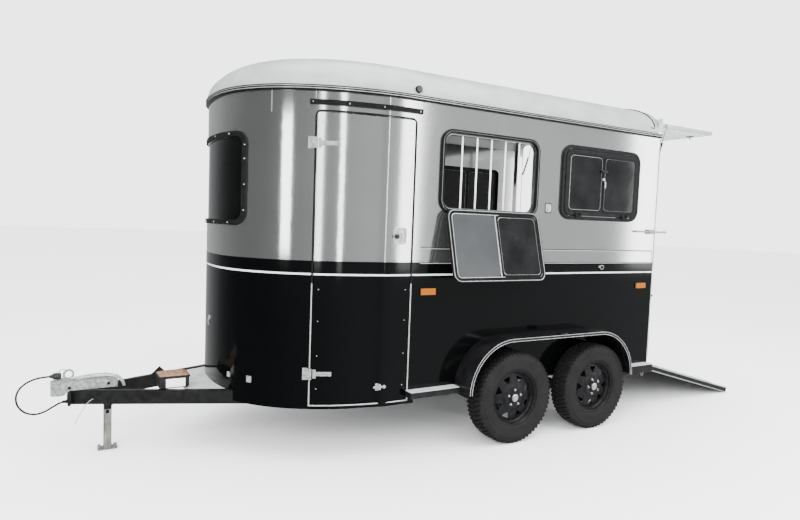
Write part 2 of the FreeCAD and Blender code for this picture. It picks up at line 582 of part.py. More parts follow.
def wheel(name, y):
    """Tyre and steel wheel, left and right, on one axle."""
    centre = (y, "wheel_radius")

    def disc(part, radius, low, length):
        return cylinder(f"{name}_{part}", radius, length, (f"wheel_centre + {low}",) + centre, "x")

    tread = disc("tread", "wheel_radius", "(-tyre_width / 2)", "tyre_width")
    doc.recompute()
    soft = doc.addObject("Part::Fillet", f"{name}_soft")
    soft.Base = tread
    soft.Edges = [(1, D.tyre_shoulder, D.tyre_shoulder), (3, D.tyre_shoulder, D.tyre_shoulder)]
    hollow = disc("hollow", "rim_radius", "(-tyre_width)", "2 * tyre_width")
    outer = disc("outer_bead", "flange_radius + 1", "rim_width / 2 - flange_thickness", "tyre_width / 2")
    inner = disc("inner_bead", "flange_radius + 1",
                 "(-rim_width / 2) + flange_thickness - tyre_width / 2", "tyre_width / 2")
    left_and_right(f"{name}_tyre", cut(f"{name}_tyre_ring", soft, hollow, outer, inner))

    barrel = disc("barrel", "rim_radius", "(-rim_width / 2)", "rim_width")
    flange_out = disc("flange_out", "flange_radius", "rim_width / 2 - flange_thickness",
                      "flange_thickness")
    flange_in = disc("flange_in", "flange_radius", "(-rim_width / 2)", "flange_thickness")
    well = disc("well", "rim_radius - rim_skin", "(-rim_width)", "2 * rim_width")
    rim = cut(f"{name}_rim", fuse(f"{name}_rim_blank", barrel, flange_out, flange_in), well)
    face = disc("face", "rim_radius - rim_skin / 2", "face_set", "face_thickness")
    drum = disc("drum", "drum_radius", "(-drum_depth)", "drum_depth + face_set")
    drum_hollow = disc("drum_hollow", "drum_radius - drum_wall", f"(-drum_depth) - {PAST}",
                       f"drum_depth + {PAST}")
    hub = disc("hub", "hub_radius", "(-drum_depth)", "drum_depth + hub_out")
    cap = disc("cap", "cap_radius", "hub_out", "cap_length")
    bore = disc("bore", "spindle_radius + spindle_play", f"(-drum_depth) - {PAST}",
                f"drum_depth + hub_out + {PAST}")
    holes = []
    for hole in range(HAND_HOLES):
        angle = 2 * math.pi * hole / HAND_HOLES
        opening = cylinder(f"{name}_hand_hole_{hole}", "hand_hole_radius", "rim_width / 2",
                           ("wheel_centre", f"{y} + hand_hole_circle * {math.cos(angle):.6f}",
                            f"wheel_radius + hand_hole_circle * {math.sin(angle):.6f}"), "x")
        holes.append(opening)
    drum_ring = cut(f"{name}_drum_ring", drum, drum_hollow)
    blank = fuse(f"{name}_blank", rim, face, drum_ring, hub, cap)
    left_and_right(f"{name}_wheel", cut(f"{name}_wheel_whole", blank, bore, *holes))


def fender_arch(inset, x_low, x_high):
    """Everything under a fender's outline, drawn in by an inset; with one it reaches below the ends."""
    front, rear = -D.fender_front + inset, D.fender_rear - inset
    radius, high = D.fender_radius - inset, D.fender_top - inset
    low = D.fender_top - D.fender_radius
    middle = radius * math.sqrt(0.5)

    def at(y, z):
        return Vector(x_low, y, z)

    rise = Part.Arc(at(front, low), at(front + radius - middle, low + middle), at(front + radius, high))
    fall = Part.Arc(at(rear - radius, high), at(rear - radius + middle, low + middle), at(rear, low))
    crown = Part.makeLine(at(front + radius, high), at(rear - radius, high))
    base = Part.makeLine(at(rear, low), at(front, low))
    arch = Part.Face(Part.Wire([rise.toShape(), crown, fall.toShape(), base]))
    arch = arch.extrude(Vector(x_high - x_low, 0, 0))
    return arch.fuse(slab((x_low, front, low - PAST), (x_high, rear, low + 1))) if inset else arch


def fenders():
    half = D.body_width / 2
    out = half + D.fender_width
    sheet_metal = fender_arch(0, half, out).cut(fender_arch(D.fender_sheet, half - PAST, out + PAST))
    edge = out - D.fender_sheet
    lip = fender_arch(0, edge, out).cut(fender_arch(D.fender_lip, edge - PAST, out + PAST))
    left_and_right("fender", feature("fender_sheet_metal", sheet_metal.fuse(lip).removeSplitter()))


def steps():
    front = box("front_step", ("step_width", "step_front - fender_front", "step_height"),
                ("body_width / 2", "-step_front", "step_top - step_height"))
    rear = box("rear_step", ("step_width", "step_rear - fender_rear", "rear_step_height"),
               ("body_width / 2", "fender_rear", "step_top - rear_step_drop - rear_step_height"))
    node("side_steps", front, rear, mirrored("front_step_twin", front),
         mirrored("rear_step_twin", rear))


# ---------------------------------------------------------------- body
def window_blank(inset, y, x_low, x_high):
    half, radius = D.window_length / 2 - inset, D.window_radius - inset
    low, high = D.window_bottom + inset, D.window_bottom + D.window_height - inset
    return rounded(y - half, y + half, low, high, radius, x_low, x_high)


def side_walls():
    half = D.body_width / 2
    rear = D.rear_y - D.portal_depth
    panel = slab((half - D.wall, -D.nose_panel_end, D.skirt_bottom), (half, rear, D.wall_top))
    opening = D.frame_face + D.frame_seat
    for y in (D.front_window_y, D.rear_window_y):
        panel = panel.cut(window_blank(opening, y, half - D.wall - PAST, half + PAST))
    panel = panel.cut(fender_arch(D.fender_sheet, half - D.recess, half + PAST))
    left_and_right("wall", feature("wall_panel", panel))


def door_corner():
    """Hinge corner of the door opening in plan: point, outward normal and rearward tangent."""
    half = D.body_width / 2
    ahead = ((D.door_front - D.nose_start) / D.nose_depth) ** D.nose_power_y
    x = half * (1 - ahead) ** (1 / D.nose_power_x)
    y = -D.door_front
    slope_x = D.nose_power_x / half * (x / half) ** (D.nose_power_x - 1)
    slope_y = -D.nose_power_y / D.nose_depth * ahead ** (1 - 1 / D.nose_power_y)
    normal = Vector(slope_x, slope_y, 0).normalize()
    tangent = Vector(-normal.y, normal.x, 0)
    return Vector(x, y, 0), normal, tangent


def door_block(gap, low, high, reach=200):
    """Everything of the nose between the door's two edges, drawn in by a gap."""
    corner, normal, tangent = door_corner()
    corner = corner + tangent * gap
    rear = -D.door_rear - gap
    half = D.body_width / 2
    plan = [corner + normal * reach, corner - normal * 80, Vector(half - 120, rear, 0),
            Vector(half + reach, rear, 0)]
    plan = [Vector(p.x, p.y, low + gap) for p in plan]
    return Part.Face(Part.makePolygon(plan + plan[:1])).extrude(Vector(0, 0, high - low - 2 * gap))


def nose():
    end = -D.nose_panel_end
    shell = prism(0, end, D.nose_bottom, D.wall_top)
    shell = shell.cut(prism(D.wall, end + PAST, D.nose_bottom - PAST, D.wall_top + PAST))
    shell = shell.cut(door_block(0, D.door_bottom, D.door_top))
    face = D.nose_window_face
    glass_hole = nose_window_block(face)
    shell = shell.cut(glass_hole)
    notch = beam_plan(-D.play, D.beam_width + D.play, -D.drawbar_tip, -D.drawbar_join,
                      0, D.beam_bottom + D.beam_height)
    shell = shell.cut(notch).cut(notch.mirror(Vector(0, 0, 0), Vector(1, 0, 0)))
    node("nose_wall", feature("nose_panel", shell))

    low, high = D.nose_window_bottom - 20, D.nose_window_top + 20
    rim = prism(-12, end, low, high).cut(prism(0, end + PAST, low - PAST, high + PAST))
    rim = rim.common(nose_window_block(0)).cut(glass_hole)
    node("nose_window_frame", feature("nose_window_rim", rim))
    pane = prism(8, end, low, high)
    pane = pane.cut(prism(8 + D.nose_glass, end + PAST, low - PAST, high + PAST))
    node("nose_window", feature("nose_pane", pane.common(nose_window_block(face))))

    leaf = prism(0, end, D.door_bottom, D.door_top)
    leaf = leaf.cut(prism(D.wall, end + PAST, D.door_bottom - PAST, D.door_top + PAST))
    leaf = leaf.common(door_block(D.door_gap, D.door_bottom, D.door_top))
    node("groom_door", feature("door_leaf", leaf))

    low, high = D.door_top + 42, D.door_top + 74
    strip = prism(-14, end, low, high).cut(prism(0, end + PAST, low - PAST, high + PAST))
    strip = strip.common(door_block(-45, D.door_top, D.door_top + 120))
    node("door_gutter", feature("gutter_strip", strip))

    corner, normal, tangent = door_corner()
    pivot = corner + normal * D.door_pivot_out + tangent * (D.door_gap / 2)
    leaves = []
    for z in (D.lower_hinge_z, D.upper_hinge_z):
        base = Vector(pivot.x, pivot.y, z - D.hinge_length / 2)
        barrel = Part.makeCylinder(D.hinge_radius, D.hinge_length, base)
        a = corner - tangent * 12
        plan = [a - normal * 0.5 - tangent * 30, a - normal * 0.5,
                a + normal * (D.door_pivot_out - 4), pivot + normal * 2,
                pivot + normal * 5, a + normal * (D.door_pivot_out + 1), a - tangent * 30 + normal * 5]
        plan = [Vector(p.x, p.y, base.z) for p in plan]
        flap = Part.Face(Part.makePolygon(plan + plan[:1])).extrude(Vector(0, 0, D.hinge_length))
        hinge = barrel.fuse(flap).cut(prism(0, end, base.z - 5, base.z + D.hinge_length + 5))
        leaves.append(feature(f"door_hinge_{z:.0f}", hinge))
    node("door_hinges", *leaves)


def nose_window_block(inset):
    """The nose window's rounded outline, drawn in by inset and carried through the nose."""
    half, low = D.nose_window_half - inset, D.nose_window_bottom + inset
    block = slab((-half, -D.nose_start - D.nose_depth - 100, low),
                 (half, -D.nose_start - 500, D.nose_window_top - inset))
    edges = [e for e in block.Edges if abs(e.tangentAt(e.FirstParameter).y) > 0.99]
    return block.makeFillet(90 - inset, edges)


# angles at which the roof's rising curve is laid out, from its rim to its nearly flat top
ROOF_ANGLES = [math.radians(angle) for angle in (0, 10, 20, 30, 40, 50, 60, 70, 80, 85)]


def roof_height(angle, rise):
    """Share of the plan and height over the rim at a point of the roof's curve."""
    return math.sqrt(math.cos(angle)), rise * math.sin(angle)


def roof_blank(inset, rear, rise):
    rings = []
    for angle in ROOF_ANGLES:
        share, height = roof_height(angle, rise)
        rings.append(outline(inset - D.roof_out, rear, D.wall_top + height, share))
    return Part.makeLoft(rings, True, False)


def roof():
    end = D.rear_y - D.portal_depth
    hollow = roof_blank(D.roof_skin, end + D.portal_depth, D.roof_rise - D.roof_skin)
    hollow = hollow.common(slab((-D.body_width, -D.drawbar_tip, 0), (D.body_width, end, 2 * D.wall_top)))
    node("roof", feature("roof_shell", roof_blank(0, end, D.roof_rise).cut(hollow)))
    low = D.wall_top - D.gutter_height
    gutter = prism(-D.gutter_out, D.rear_y, low, D.wall_top)
    gutter = gutter.cut(prism(0, D.rear_y + PAST, low - PAST, D.wall_top + PAST))
    node("drip_rail", feature("gutter_band", gutter))
    crown = D.wall_top + roof_height(ROOF_ANGLES[-1], D.roof_rise)[1]
    vent = cylinder("vent_cap", "vent_radius", "vent_height", (0, "-vent_y", crown))
    node("roof_vent", vent)


def rear_portal():
    half, end = D.body_width / 2, D.rear_y - D.portal_depth
    left = []
    for angle in ROOF_ANGLES:
        share, height = roof_height(angle, D.roof_rise)
        left.append(Vector(share * (half + D.roof_out), end, D.wall_top + height))
    points = [Vector(-point.x, point.y, point.z) for point in left] + left[::-1]
    crown = Part.BSplineCurve()
    crown.interpolate(Points=points, InitialTangent=Vector(0, 0, 1), FinalTangent=Vector(0, 0, -1))
    arch = Part.Wire([crown.toShape(), Part.makeLine(points[-1], points[0])])
    arch = Part.Face(arch).extrude(Vector(0, D.portal_depth, 0))
    sides = slab((-half, end, D.sill_bottom), (half, D.rear_y, D.wall_top))
    inside = D.body_width / 2 - D.post_width
    low = D.beam_bottom + D.beam_height + D.floor_thickness
    opening = slab((-inside, end - PAST, low), (inside, D.rear_y + PAST, D.header_bottom))
    upper = [e for e in opening.Edges if abs(e.tangentAt(e.FirstParameter).y) > 0.99
             and e.CenterOfMass.z > D.wall_top]
    opening = opening.makeFillet(D.portal_radius, upper)
    frame = feature("portal", arch.fuse(sides).cut(opening).removeSplitter())
    lugs = []
    for count, x in enumerate(HINGE_STARTS):
        arm = box(f"ramp_lug_{count}", (HINGE_LENGTH, "ramp_pivot_back", "2 * pivot_radius"),
                  (x, "rear_y", "ramp_pivot_z - pivot_radius"))
        barrel = cylinder(f"ramp_barrel_{count}", "pivot_radius", HINGE_LENGTH,
                          (x, "rear_y + ramp_pivot_back", "ramp_pivot_z"), "x")
        top_arm = box(f"canopy_lug_{count}", (HINGE_LENGTH, "canopy_pivot_back", "pivot_radius"),
                      (x, "rear_y", "canopy_pivot_z"))
        top_barrel = cylinder(f"canopy_barrel_{count}", "pivot_radius", HINGE_LENGTH,
                              (x, "rear_y + canopy_pivot_back", "canopy_pivot_z"), "x")
        lugs += [arm, barrel, top_arm, top_barrel]
    foot = box("strut_bracket", ("strut_lug", "canopy_pivot_back + strut_foot_eye", "strut_lug_height"),
               ("strut_x + strut_eye / 2 + strut_lug_gap", "rear_y",
                "strut_foot_z - strut_lug_height / 2"))
    pin = cylinder("strut_foot_pin", "strut_pin", "strut_eye + 3 * strut_lug_gap",
                   ("strut_x - strut_eye / 2", "rear_y + canopy_pivot_back", "strut_foot_z"), "x")
    side = fuse("strut_foot", foot, pin)
    node("rear_portal", fuse("portal_whole", frame, side, mirrored("strut_foot_twin", side), *lugs))


def rear_closures():
    """Ramp, canopy and the canopy's gas struts."""
    board = slab((-D.ramp_half, D.ramp_start, -D.ramp_under),
                 (D.ramp_half, D.ramp_length, D.ramp_over))
    under = slab((-D.ramp_half + D.ramp_frame, D.ramp_start + D.ramp_frame, -D.ramp_under - PAST),
                 (D.ramp_half - D.ramp_frame, D.ramp_length - D.ramp_frame, D.ramp_over - D.ramp_skin))
    ribs = []
    for x in RAMP_RIBS:
        ribs.append(slab((x - D.ramp_rib / 2, D.ramp_start, -D.ramp_under),
                         (x + D.ramp_rib / 2, D.ramp_length, D.ramp_over - D.ramp_skin / 2)))
    deck = board.cut(under).fuse(ribs)
    for x in (start + HINGE_LENGTH + KNUCKLE_PLAY for start in HINGE_STARTS):
        tab = slab((x, 0, -D.pivot_radius + 1), (x + TAB_LENGTH, D.ramp_start + PAST, D.pivot_radius))
        barrel = Part.makeCylinder(D.pivot_radius, TAB_LENGTH, Vector(x, 0, 0), Vector(1, 0, 0))
        deck = deck.fuse([tab, barrel])
    ramp = turned(feature("ramp_deck", deck.removeSplitter()), Vector(-1, 0, 0), LIFT_ANGLE)
    place(ramp, (0, "rear_y + ramp_pivot_back", "ramp_pivot_z"))
    node("ramp", group("ramp_placed", ramp))

    low = D.canopy_over - D.canopy_thickness
    lid = slab((-D.ramp_half, D.canopy_start, low), (D.ramp_half, D.canopy_length, D.canopy_over))
    for x in (start + HINGE_LENGTH + KNUCKLE_PLAY for start in HINGE_STARTS):
        tab = slab((x, 0, -2), (x + TAB_LENGTH, D.canopy_start + PAST, D.pivot_radius))
        barrel = Part.makeCylinder(D.pivot_radius, TAB_LENGTH, Vector(x, 0, 0), Vector(1, 0, 0))
        lid = lid.fuse([tab, barrel])
    studs = D.strut_x - D.strut_eye / 2 - D.strut_lug_gap - D.ramp_half
    for x in (D.ramp_half, -D.ramp_half - studs):
        lid = lid.fuse(Part.makeCylinder(D.strut_stud, studs, Vector(x, D.strut_grip, 0),
                                         Vector(1, 0, 0)))
    canopy = feature("canopy_panel", lid.removeSplitter())
    place(canopy, (0, "rear_y + canopy_pivot_back", "canopy_pivot_z"))
    node("canopy", group("canopy_placed", canopy))

    rise = D.canopy_pivot_z - D.strut_foot_z
    lean = math.atan2(D.strut_grip, rise)
    reach = math.hypot(D.strut_grip, rise)
    along = Vector(0, math.sin(lean), math.cos(lean))
    foot = Vector(D.strut_x, D.rear_y + D.canopy_pivot_back, D.strut_foot_z)
    across = Vector(D.strut_eye / 2, 0, 0)
    past_pin = along * 2 * D.strut_pin
    tube = Part.makeCylinder(D.strut_radius, D.strut_cylinder - past_pin.Length, foot + past_pin, along)
    eye = Part.makeCylinder(D.strut_foot_eye, D.strut_eye, foot - across, Vector(1, 0, 0))
    bore = Part.makeCylinder(D.strut_rod + D.spindle_play, D.strut_cylinder, foot + past_pin * 2, along)
    pin_hole = Part.makeCylinder(D.strut_pin + D.spindle_play, 2 * D.strut_eye, foot - across * 2,
                                 Vector(1, 0, 0))
    left_and_right("strut_cylinder", feature("strut_tube", tube.fuse(eye).cut(bore).cut(pin_hole)))
    head = foot + along * reach
    rod = Part.makeCylinder(D.strut_rod, D.strut_rod_length, head - along * D.strut_rod_length, along)
    top_eye = Part.makeCylinder(D.strut_head_eye, D.strut_eye, head - across, Vector(1, 0, 0))
    left_and_right("strut_rod", feature("rod", rod.fuse(top_eye)))


def windows():
    half = D.body_width / 2
    pivot_x = half + D.frame_out + D.sash_set + D.sash_pivot_out
    low = D.window_bottom + D.frame_face
    for name, y in (("front", D.front_window_y), ("rear", D.rear_window_y)):
        ring = window_blank(0, y, half, half + D.frame_out)
        ring = ring.cut(window_blank(D.frame_face, y, half - PAST, half + D.frame_out + PAST))
        for offset in WINDOW_HINGES:
            start = y + offset - D.window_lug / 2
            block = slab((half + D.frame_out - 2, start, low - D.window_barrel - 9),
                         (pivot_x, start + D.window_lug, low - D.play))
            barrel = Part.makeCylinder(D.window_barrel, D.window_lug,
                                       Vector(pivot_x, start, low + D.sash_set), Vector(0, 1, 0))
            ring = ring.fuse([block, barrel])
        pieces = [feature(f"{name}_window_ring", ring)]
        inset = D.frame_face + D.frame_seat
        if name == "front":
            for bar in range(BARS):
                at = y + (bar - (BARS - 1) / 2) * D.bar_pitch
                rod = Part.makeCylinder(D.bar_radius, D.window_height - 2 * inset,
                                        Vector(half - D.wall / 2, at, D.window_bottom + inset))
                pieces.append(feature(f"window_bar_{bar}", rod))
        left_and_right(f"{name}_window_frame", *pieces)
        pivot_z = low + D.sash_set
        sash(name, "left", y, pivot_x, pivot_z, D.sash_open_angle if name == "front" else 0)
        sash(name, "right", y, pivot_x, pivot_z, 0)


def sash(name, side, y, pivot_x, pivot_z, angle):
    """A drop-down window sash, drawn closed about its pivot and then turned to its rest angle."""
    half = D.window_length / 2 - D.frame_face - D.sash_gap
    tall = D.window_height - 2 * D.frame_face - 2 * D.sash_gap
    radius = D.window_radius - D.frame_face - D.sash_gap
    outer, low = -D.sash_pivot_out, D.sash_gap - D.sash_set
    inner = outer - D.sash_thickness
    panel = rounded(-half, half, low, low + tall, radius, inner, outer)
    face = D.sash_face
    for start, stop in ((-half + face, -face / 2), (face / 2, half - face)):
        pane = rounded(start, stop, low + face, low + tall - face, D.sash_pane_radius,
                       outer - D.sash_recess, outer + PAST)
        panel = panel.cut(pane)
    for offset in WINDOW_HINGES:
        beside = D.window_lug / 2 + KNUCKLE_PLAY
        for start in (offset - beside - D.window_tab, offset + beside):
            tab = slab((outer - 1, start, 2), (D.window_barrel, start + D.window_tab, low + 22))
            barrel = Part.makeCylinder(D.window_barrel, D.window_tab, Vector(0, start, 0),
                                       Vector(0, 1, 0))
            panel = panel.fuse([tab, barrel])
    panel = panel.removeSplitter()
    piece = feature(f"{side}_{name}_sash_panel", panel)
    if side == "left":
        piece.Placement.Rotation = Rotation(Vector(0, 1, 0), angle)
        piece.Placement.Base = Vector(pivot_x, y, pivot_z)
        node(f"left_{name}_sash", group(f"left_{name}_sash_placed", piece))
    else:
        piece.Placement.Base = Vector(pivot_x, y, pivot_z)
        node(f"right_{name}_sash", mirrored(f"right_{name}_sash_placed", piece))


# ---------------------------------------------------------------- inside and small outside pieces
def inside():
    floor_top = "beam_bottom + beam_height + floor_thickness"
    rear_post = cylinder("rear_post", "post_radius", f"header_bottom - ({floor_top})",
                         (0, "rear_y - portal_depth / 2", floor_top))
    front_post = cylinder("front_post", "post_radius",
                          f"wall_top + (roof_rise - roof_skin) * 0.995 - ({floor_top})",
                          (0, "-divider_front", floor_top))
    board = box("divider_board", ("divider_thickness", "divider_front + rear_y - portal_depth / 2",
                                  "divider_height"),
                ("-divider_thickness / 2", "-divider_front", "divider_low"))
    node("divider", fuse("divider_whole", rear_post, front_post, board))
    bar = cylinder("breast_bar", "breast_bar_radius", "body_width / 2 - wall - post_radius",
                   ("post_radius", "-divider_front", "breast_bar_z"), "x")
    node("breast_bars", bar, mirrored("breast_bar_twin", bar))


def outside():
    lamps = []
    for count, y in enumerate(SIDE_LAMPS):
        lamp = box(f"side_lamp_{count}", ("side_lamp_out", "side_lamp_length", "side_lamp_height"),
                   ("body_width / 2", y, "side_lamp_z"))
        lamps += [lamp, mirrored(f"side_lamp_{count}_twin", lamp)]
    lamp = cylinder("roof_lamp_blank", "roof_lamp_radius", "roof_lamp_length",
                    ("body_width / 2 + roof_out - 4", "-roof_lamp_y", "roof_lamp_z"), "x")
    roof_solid = feature("roof_solid", roof_blank(-D.play, D.rear_y, D.roof_rise))
    lamp = cut("roof_lamp", lamp, roof_solid)
    node("marker_lamps", *lamps, lamp, mirrored("roof_lamp_twin", lamp))
    tail = box("tail_lamp", ("tail_lamp_width", "tail_lamp_out", "tail_lamp_height"),
               ("body_width / 2 - tail_lamp_edge", "rear_y", "tail_lamp_z"))
    node("tail_lamps", tail, mirrored("tail_lamp_twin", tail))
    rod = cylinder("latch_rod", "latch_radius", "latch_length",
                   ("body_width / 2 + latch_out", "latch_y", "latch_z"), "y")
    mount = box("latch_mount", ("latch_mount_out", "latch_mount_length", "latch_mount_height"),
                ("body_width / 2", "latch_mount_y", "latch_z - latch_mount_height / 2"))
    latch = fuse("latch", rod, mount)
    node("ramp_latches", latch, mirrored("latch_twin", latch))


# ---------------------------------------------------------------- electric lead
LEAD_POINTS = [
    (46, -3320, 366), (46, -3356, 366), (48, -3402, 340), (50, -3455, 309), (48, -3508, 300),
    (43, -3558, 316), (35, -3596, 356), (22, -3610, 408), (8, -3597, 458), (-4, -3558, 496),
    (-12, -3510, 516), (-16, -3464, 523.6), (-18, -3424, 524.3)]


def tube_path(points, share=0.45):
    """Straight runs joined by tangent arcs, each as large as its two runs allow."""
    edges, radii = [], []
    start = points[0]
    for before, here, after in zip(points, points[1:], points[2:]):
        back, on = (before - here), (after - here)
        reach = share * min(back.Length, on.Length)
        back.normalize()
        on.normalize()
        turn = math.pi - back.getAngle(on)
        radius = reach / math.tan(turn / 2)
        enter, leave = here + back * reach, here + on * reach
        bisector = (back + on).normalize()
        centre = here + bisector * math.hypot(radius, reach)
        middle = centre - bisector * radius
        edges += [Part.makeLine(start, enter), Part.Arc(enter, middle, leave).toShape()]
        radii.append(radius)
        start = leave
    edges.append(Part.makeLine(start, points[-1]))
    return Part.Wire(edges), radii


def lead():
    points = [Vector(*point) for point in LEAD_POINTS]
    path, radii = tube_path(points)
    ring = Part.Wire(Part.makeCircle(D.lead_diameter / 2, points[0], points[1] - points[0]))
    tube = path.makePipeShell([ring], True, False)
    section = math.pi * D.lead_diameter ** 2 / 4
    print("lead radii", [round(radius, 1) for radius in radii], "length", round(path.Length, 1))
    print("lead volume over section times length", round(tube.Volume / (section * path.Length), 4))
    node("electric_lead", feature("lead_tube", tube))
    plug = cylinder("plug_shell", "plug_radius", "plug_length", LEAD_POINTS[-1], "y")
    node("lead_plug", plug)


def build():
    chassis()
    drawbar()
    front_end()
    stand()
    running_gear()
    fenders()
    steps()
    side_walls()
    nose()
    roof()
    rear_portal()
    rear_closures()
    windows()
    inside()
    outside()
    lead()
    doc.recompute()


def check_and_export():
    broken = [o.Name for o in doc.Objects if "Invalid" in o.State or "Error" in o.State]
    if broken:
        raise RuntimeError(f"objects that failed: {broken}")
    for label, whole in NODES.items():
        shape = whole.Shape
        if whole.Label != label or shape.isNull() or not shape.isValid() or not shape.Solids:
            raise RuntimeError(f"sub-part {label} is not sound: {whole.Label} {shape.isValid()}")
    os.makedirs("parts", exist_ok=True)
    for label, whole in NODES.items():
        whole.Shape.exportStep(f"parts/{label}.step")
    print(len(NODES), "sub-parts")


build()
check_and_export()
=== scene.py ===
"""Looks of the two-horse trailer: finishes for its frame, and the small pieces that the frame leaves out.

Metres.  +X is the trailer's left side, -Y its front, +Z up, and it stands on z = 0.
"""

import math

import bmesh
import bpy
from mathutils import Matrix, Vector


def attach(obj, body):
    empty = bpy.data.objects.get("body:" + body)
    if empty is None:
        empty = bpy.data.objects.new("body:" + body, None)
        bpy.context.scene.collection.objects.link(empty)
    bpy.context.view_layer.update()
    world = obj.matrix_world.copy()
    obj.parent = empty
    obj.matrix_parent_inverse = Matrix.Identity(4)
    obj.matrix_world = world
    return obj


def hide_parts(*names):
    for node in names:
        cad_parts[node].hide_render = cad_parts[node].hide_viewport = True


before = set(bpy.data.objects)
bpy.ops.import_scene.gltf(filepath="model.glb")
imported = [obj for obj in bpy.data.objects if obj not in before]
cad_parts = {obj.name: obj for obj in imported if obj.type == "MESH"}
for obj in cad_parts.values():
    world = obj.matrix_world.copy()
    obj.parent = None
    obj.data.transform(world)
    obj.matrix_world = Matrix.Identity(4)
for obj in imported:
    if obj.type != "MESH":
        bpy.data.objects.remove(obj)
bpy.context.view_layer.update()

MIDDLE_Y = 0.408702          # the axles' midpoint along the frame's y
HALF = 0.940                 # outer face of the side walls
NOSE_START, NOSE_DEPTH = -1.300 + MIDDLE_Y, 1.110
NOSE_TIP = NOSE_START - NOSE_DEPTH
REAR = 1.232 + MIDDLE_Y
WALL_TOP = 2.475
COLOUR_LINE = 1.338          # silver above, black below
ZONES_TOP = 3.0              # height that the paint's level bands are measured against


# ---------------------------------------------------------------- finishes
class Finish:
    """One material's node tree, with the few steps that the finishes share."""

    def __init__(self, name):
        self.material = bpy.data.materials.new(name)
        self.material.use_nodes = True
        self.tree = self.material.node_tree
        self.shader = self.tree.nodes["Principled BSDF"]
        self.place = self.add("ShaderNodeTexCoord").outputs["Object"]

    def add(self, kind, **settings):
        made = self.tree.nodes.new(kind)
        for key, value in settings.items():
            setattr(made, key, value)
        return made

    def link(self, a, b):
        self.tree.links.new(a, b)

    def stretched(self, scale):
        mapping = self.add("ShaderNodeMapping")
        mapping.inputs["Scale"].default_value = scale
        self.link(self.place, mapping.inputs["Vector"])
        return mapping.outputs["Vector"]

    def noise(self, size, detail=4.0, scale=(1, 1, 1), rough=0.5):
        made = self.add("ShaderNodeTexNoise")
        made.inputs["Scale"].default_value = size
        made.inputs["Detail"].default_value = detail
        made.inputs["Roughness"].default_value = rough
        self.link(self.stretched(scale), made.inputs["Vector"])
        return made.outputs["Fac"]

    def ramp(self, value, stops, mode="LINEAR"):
        made = self.add("ShaderNodeValToRGB")
        band = made.color_ramp
        band.interpolation = mode
        while len(band.elements) < len(stops):
            band.elements.new(1.0)
        for element, (at, colour) in zip(band.elements, stops):
            element.position = at
        for element, (at, colour) in zip(band.elements, stops):
            if not hasattr(colour, "__len__"):
                colour = (colour,) * 3
            element.color = (*colour, 1.0)
        self.link(value, made.inputs["Fac"])
        return made.outputs["Color"]

    def axis(self, which, low, high):
        """One coordinate, as 0 to 1 between low and high."""
        split = self.add("ShaderNodeSeparateXYZ")
        self.link(self.place, split.inputs[0])
        value = split.outputs[which]
        if which == "X":
            size = self.add("ShaderNodeMath", operation="ABSOLUTE")
            self.link(value, size.inputs[0])
            value = size.outputs[0]
        made = self.add("ShaderNodeMapRange")
        made.inputs["From Min"].default_value = low
        made.inputs["From Max"].default_value = high
        self.link(value, made.inputs["Value"])
        return made.outputs["Result"]

    def blended(self, kind, factor, a, b):
        made = self.add("ShaderNodeMix", data_type="RGBA", blend_type=kind)
        made.inputs["Factor"].default_value = factor
        self.link(a, made.inputs[6])
        self.link(b, made.inputs[7])
        return made.outputs[2]

    def between(self, value, low, high):
        """A value of 0 to 1, taken to low to high."""
        made = self.add("ShaderNodeMapRange")
        made.inputs["To Min"].default_value = low
        made.inputs["To Max"].default_value = high
        self.link(value, made.inputs["Value"])
        return made.outputs["Result"]

    def colour(self, socket):
        self.link(socket, self.shader.inputs["Base Color"])

    def roughness(self, low, high, size=14):
        self.link(self.between(self.noise(size, 3), low, high), self.shader.inputs["Roughness"])

    def bump(self, height, depth, strength=1.0):
        made = self.add("ShaderNodeBump")
        made.inputs["Strength"].default_value = strength
        made.inputs["Distance"].default_value = depth
        self.link(height, made.inputs["Height"])
        self.link(made.outputs["Normal"], self.shader.inputs["Normal"])

    def set(self, **values):
        for key, value in values.items():
            self.shader.inputs[key.replace("_", " ")].default_value = value
        return self


LOOKS = {}


def plain(name, base, accent, rough, metal=0.0, size=18, scale=(1, 1, 1), grain=300, depth=0.00005,
          **values):
    """A finish whose colour and gloss wander between two values, with a fine grain."""
    made = Finish(name)
    made.colour(made.ramp(made.noise(size, 5, scale), [(0.36, base), (0.64, accent)]))
    made.roughness(rough[0], rough[1], size * 0.7)
    made.bump(made.noise(grain, 2, scale), depth)
    made.set(Metallic=metal, **{"Specular_IOR_Level": 0.25, **values})
    LOOKS[name] = made.material
    return made


def zoned(name, bands, rough=(0.07, 0.12), specular=0.16):
    """Gloss paint in level bands: (from this height, colour, metallic)."""
    made = Finish(name)
    height = made.axis("Z", 0.0, ZONES_TOP)
    colours = made.ramp(height, [(z / ZONES_TOP, colour) for z, colour, _ in bands], "CONSTANT")
    cloud = made.ramp(made.noise(1.4, 2), [(0.3, 0.90), (0.7, 1.0)])
    fleck = made.ramp(made.noise(900, 1), [(0.3, 0.95), (0.7, 1.0)])
    made.colour(made.blended("MULTIPLY", 1.0, made.blended("MULTIPLY", 1.0, colours, cloud), fleck))
    metal = made.ramp(height, [(z / ZONES_TOP, amount) for z, _, amount in bands], "CONSTANT")
    made.link(metal, made.shader.inputs["Metallic"])
    made.roughness(rough[0], rough[1], 3)
    made.bump(made.noise(260, 1), 0.00003)
    made.set(Specular_IOR_Level=specular)
    LOOKS[name] = made.material
    return made


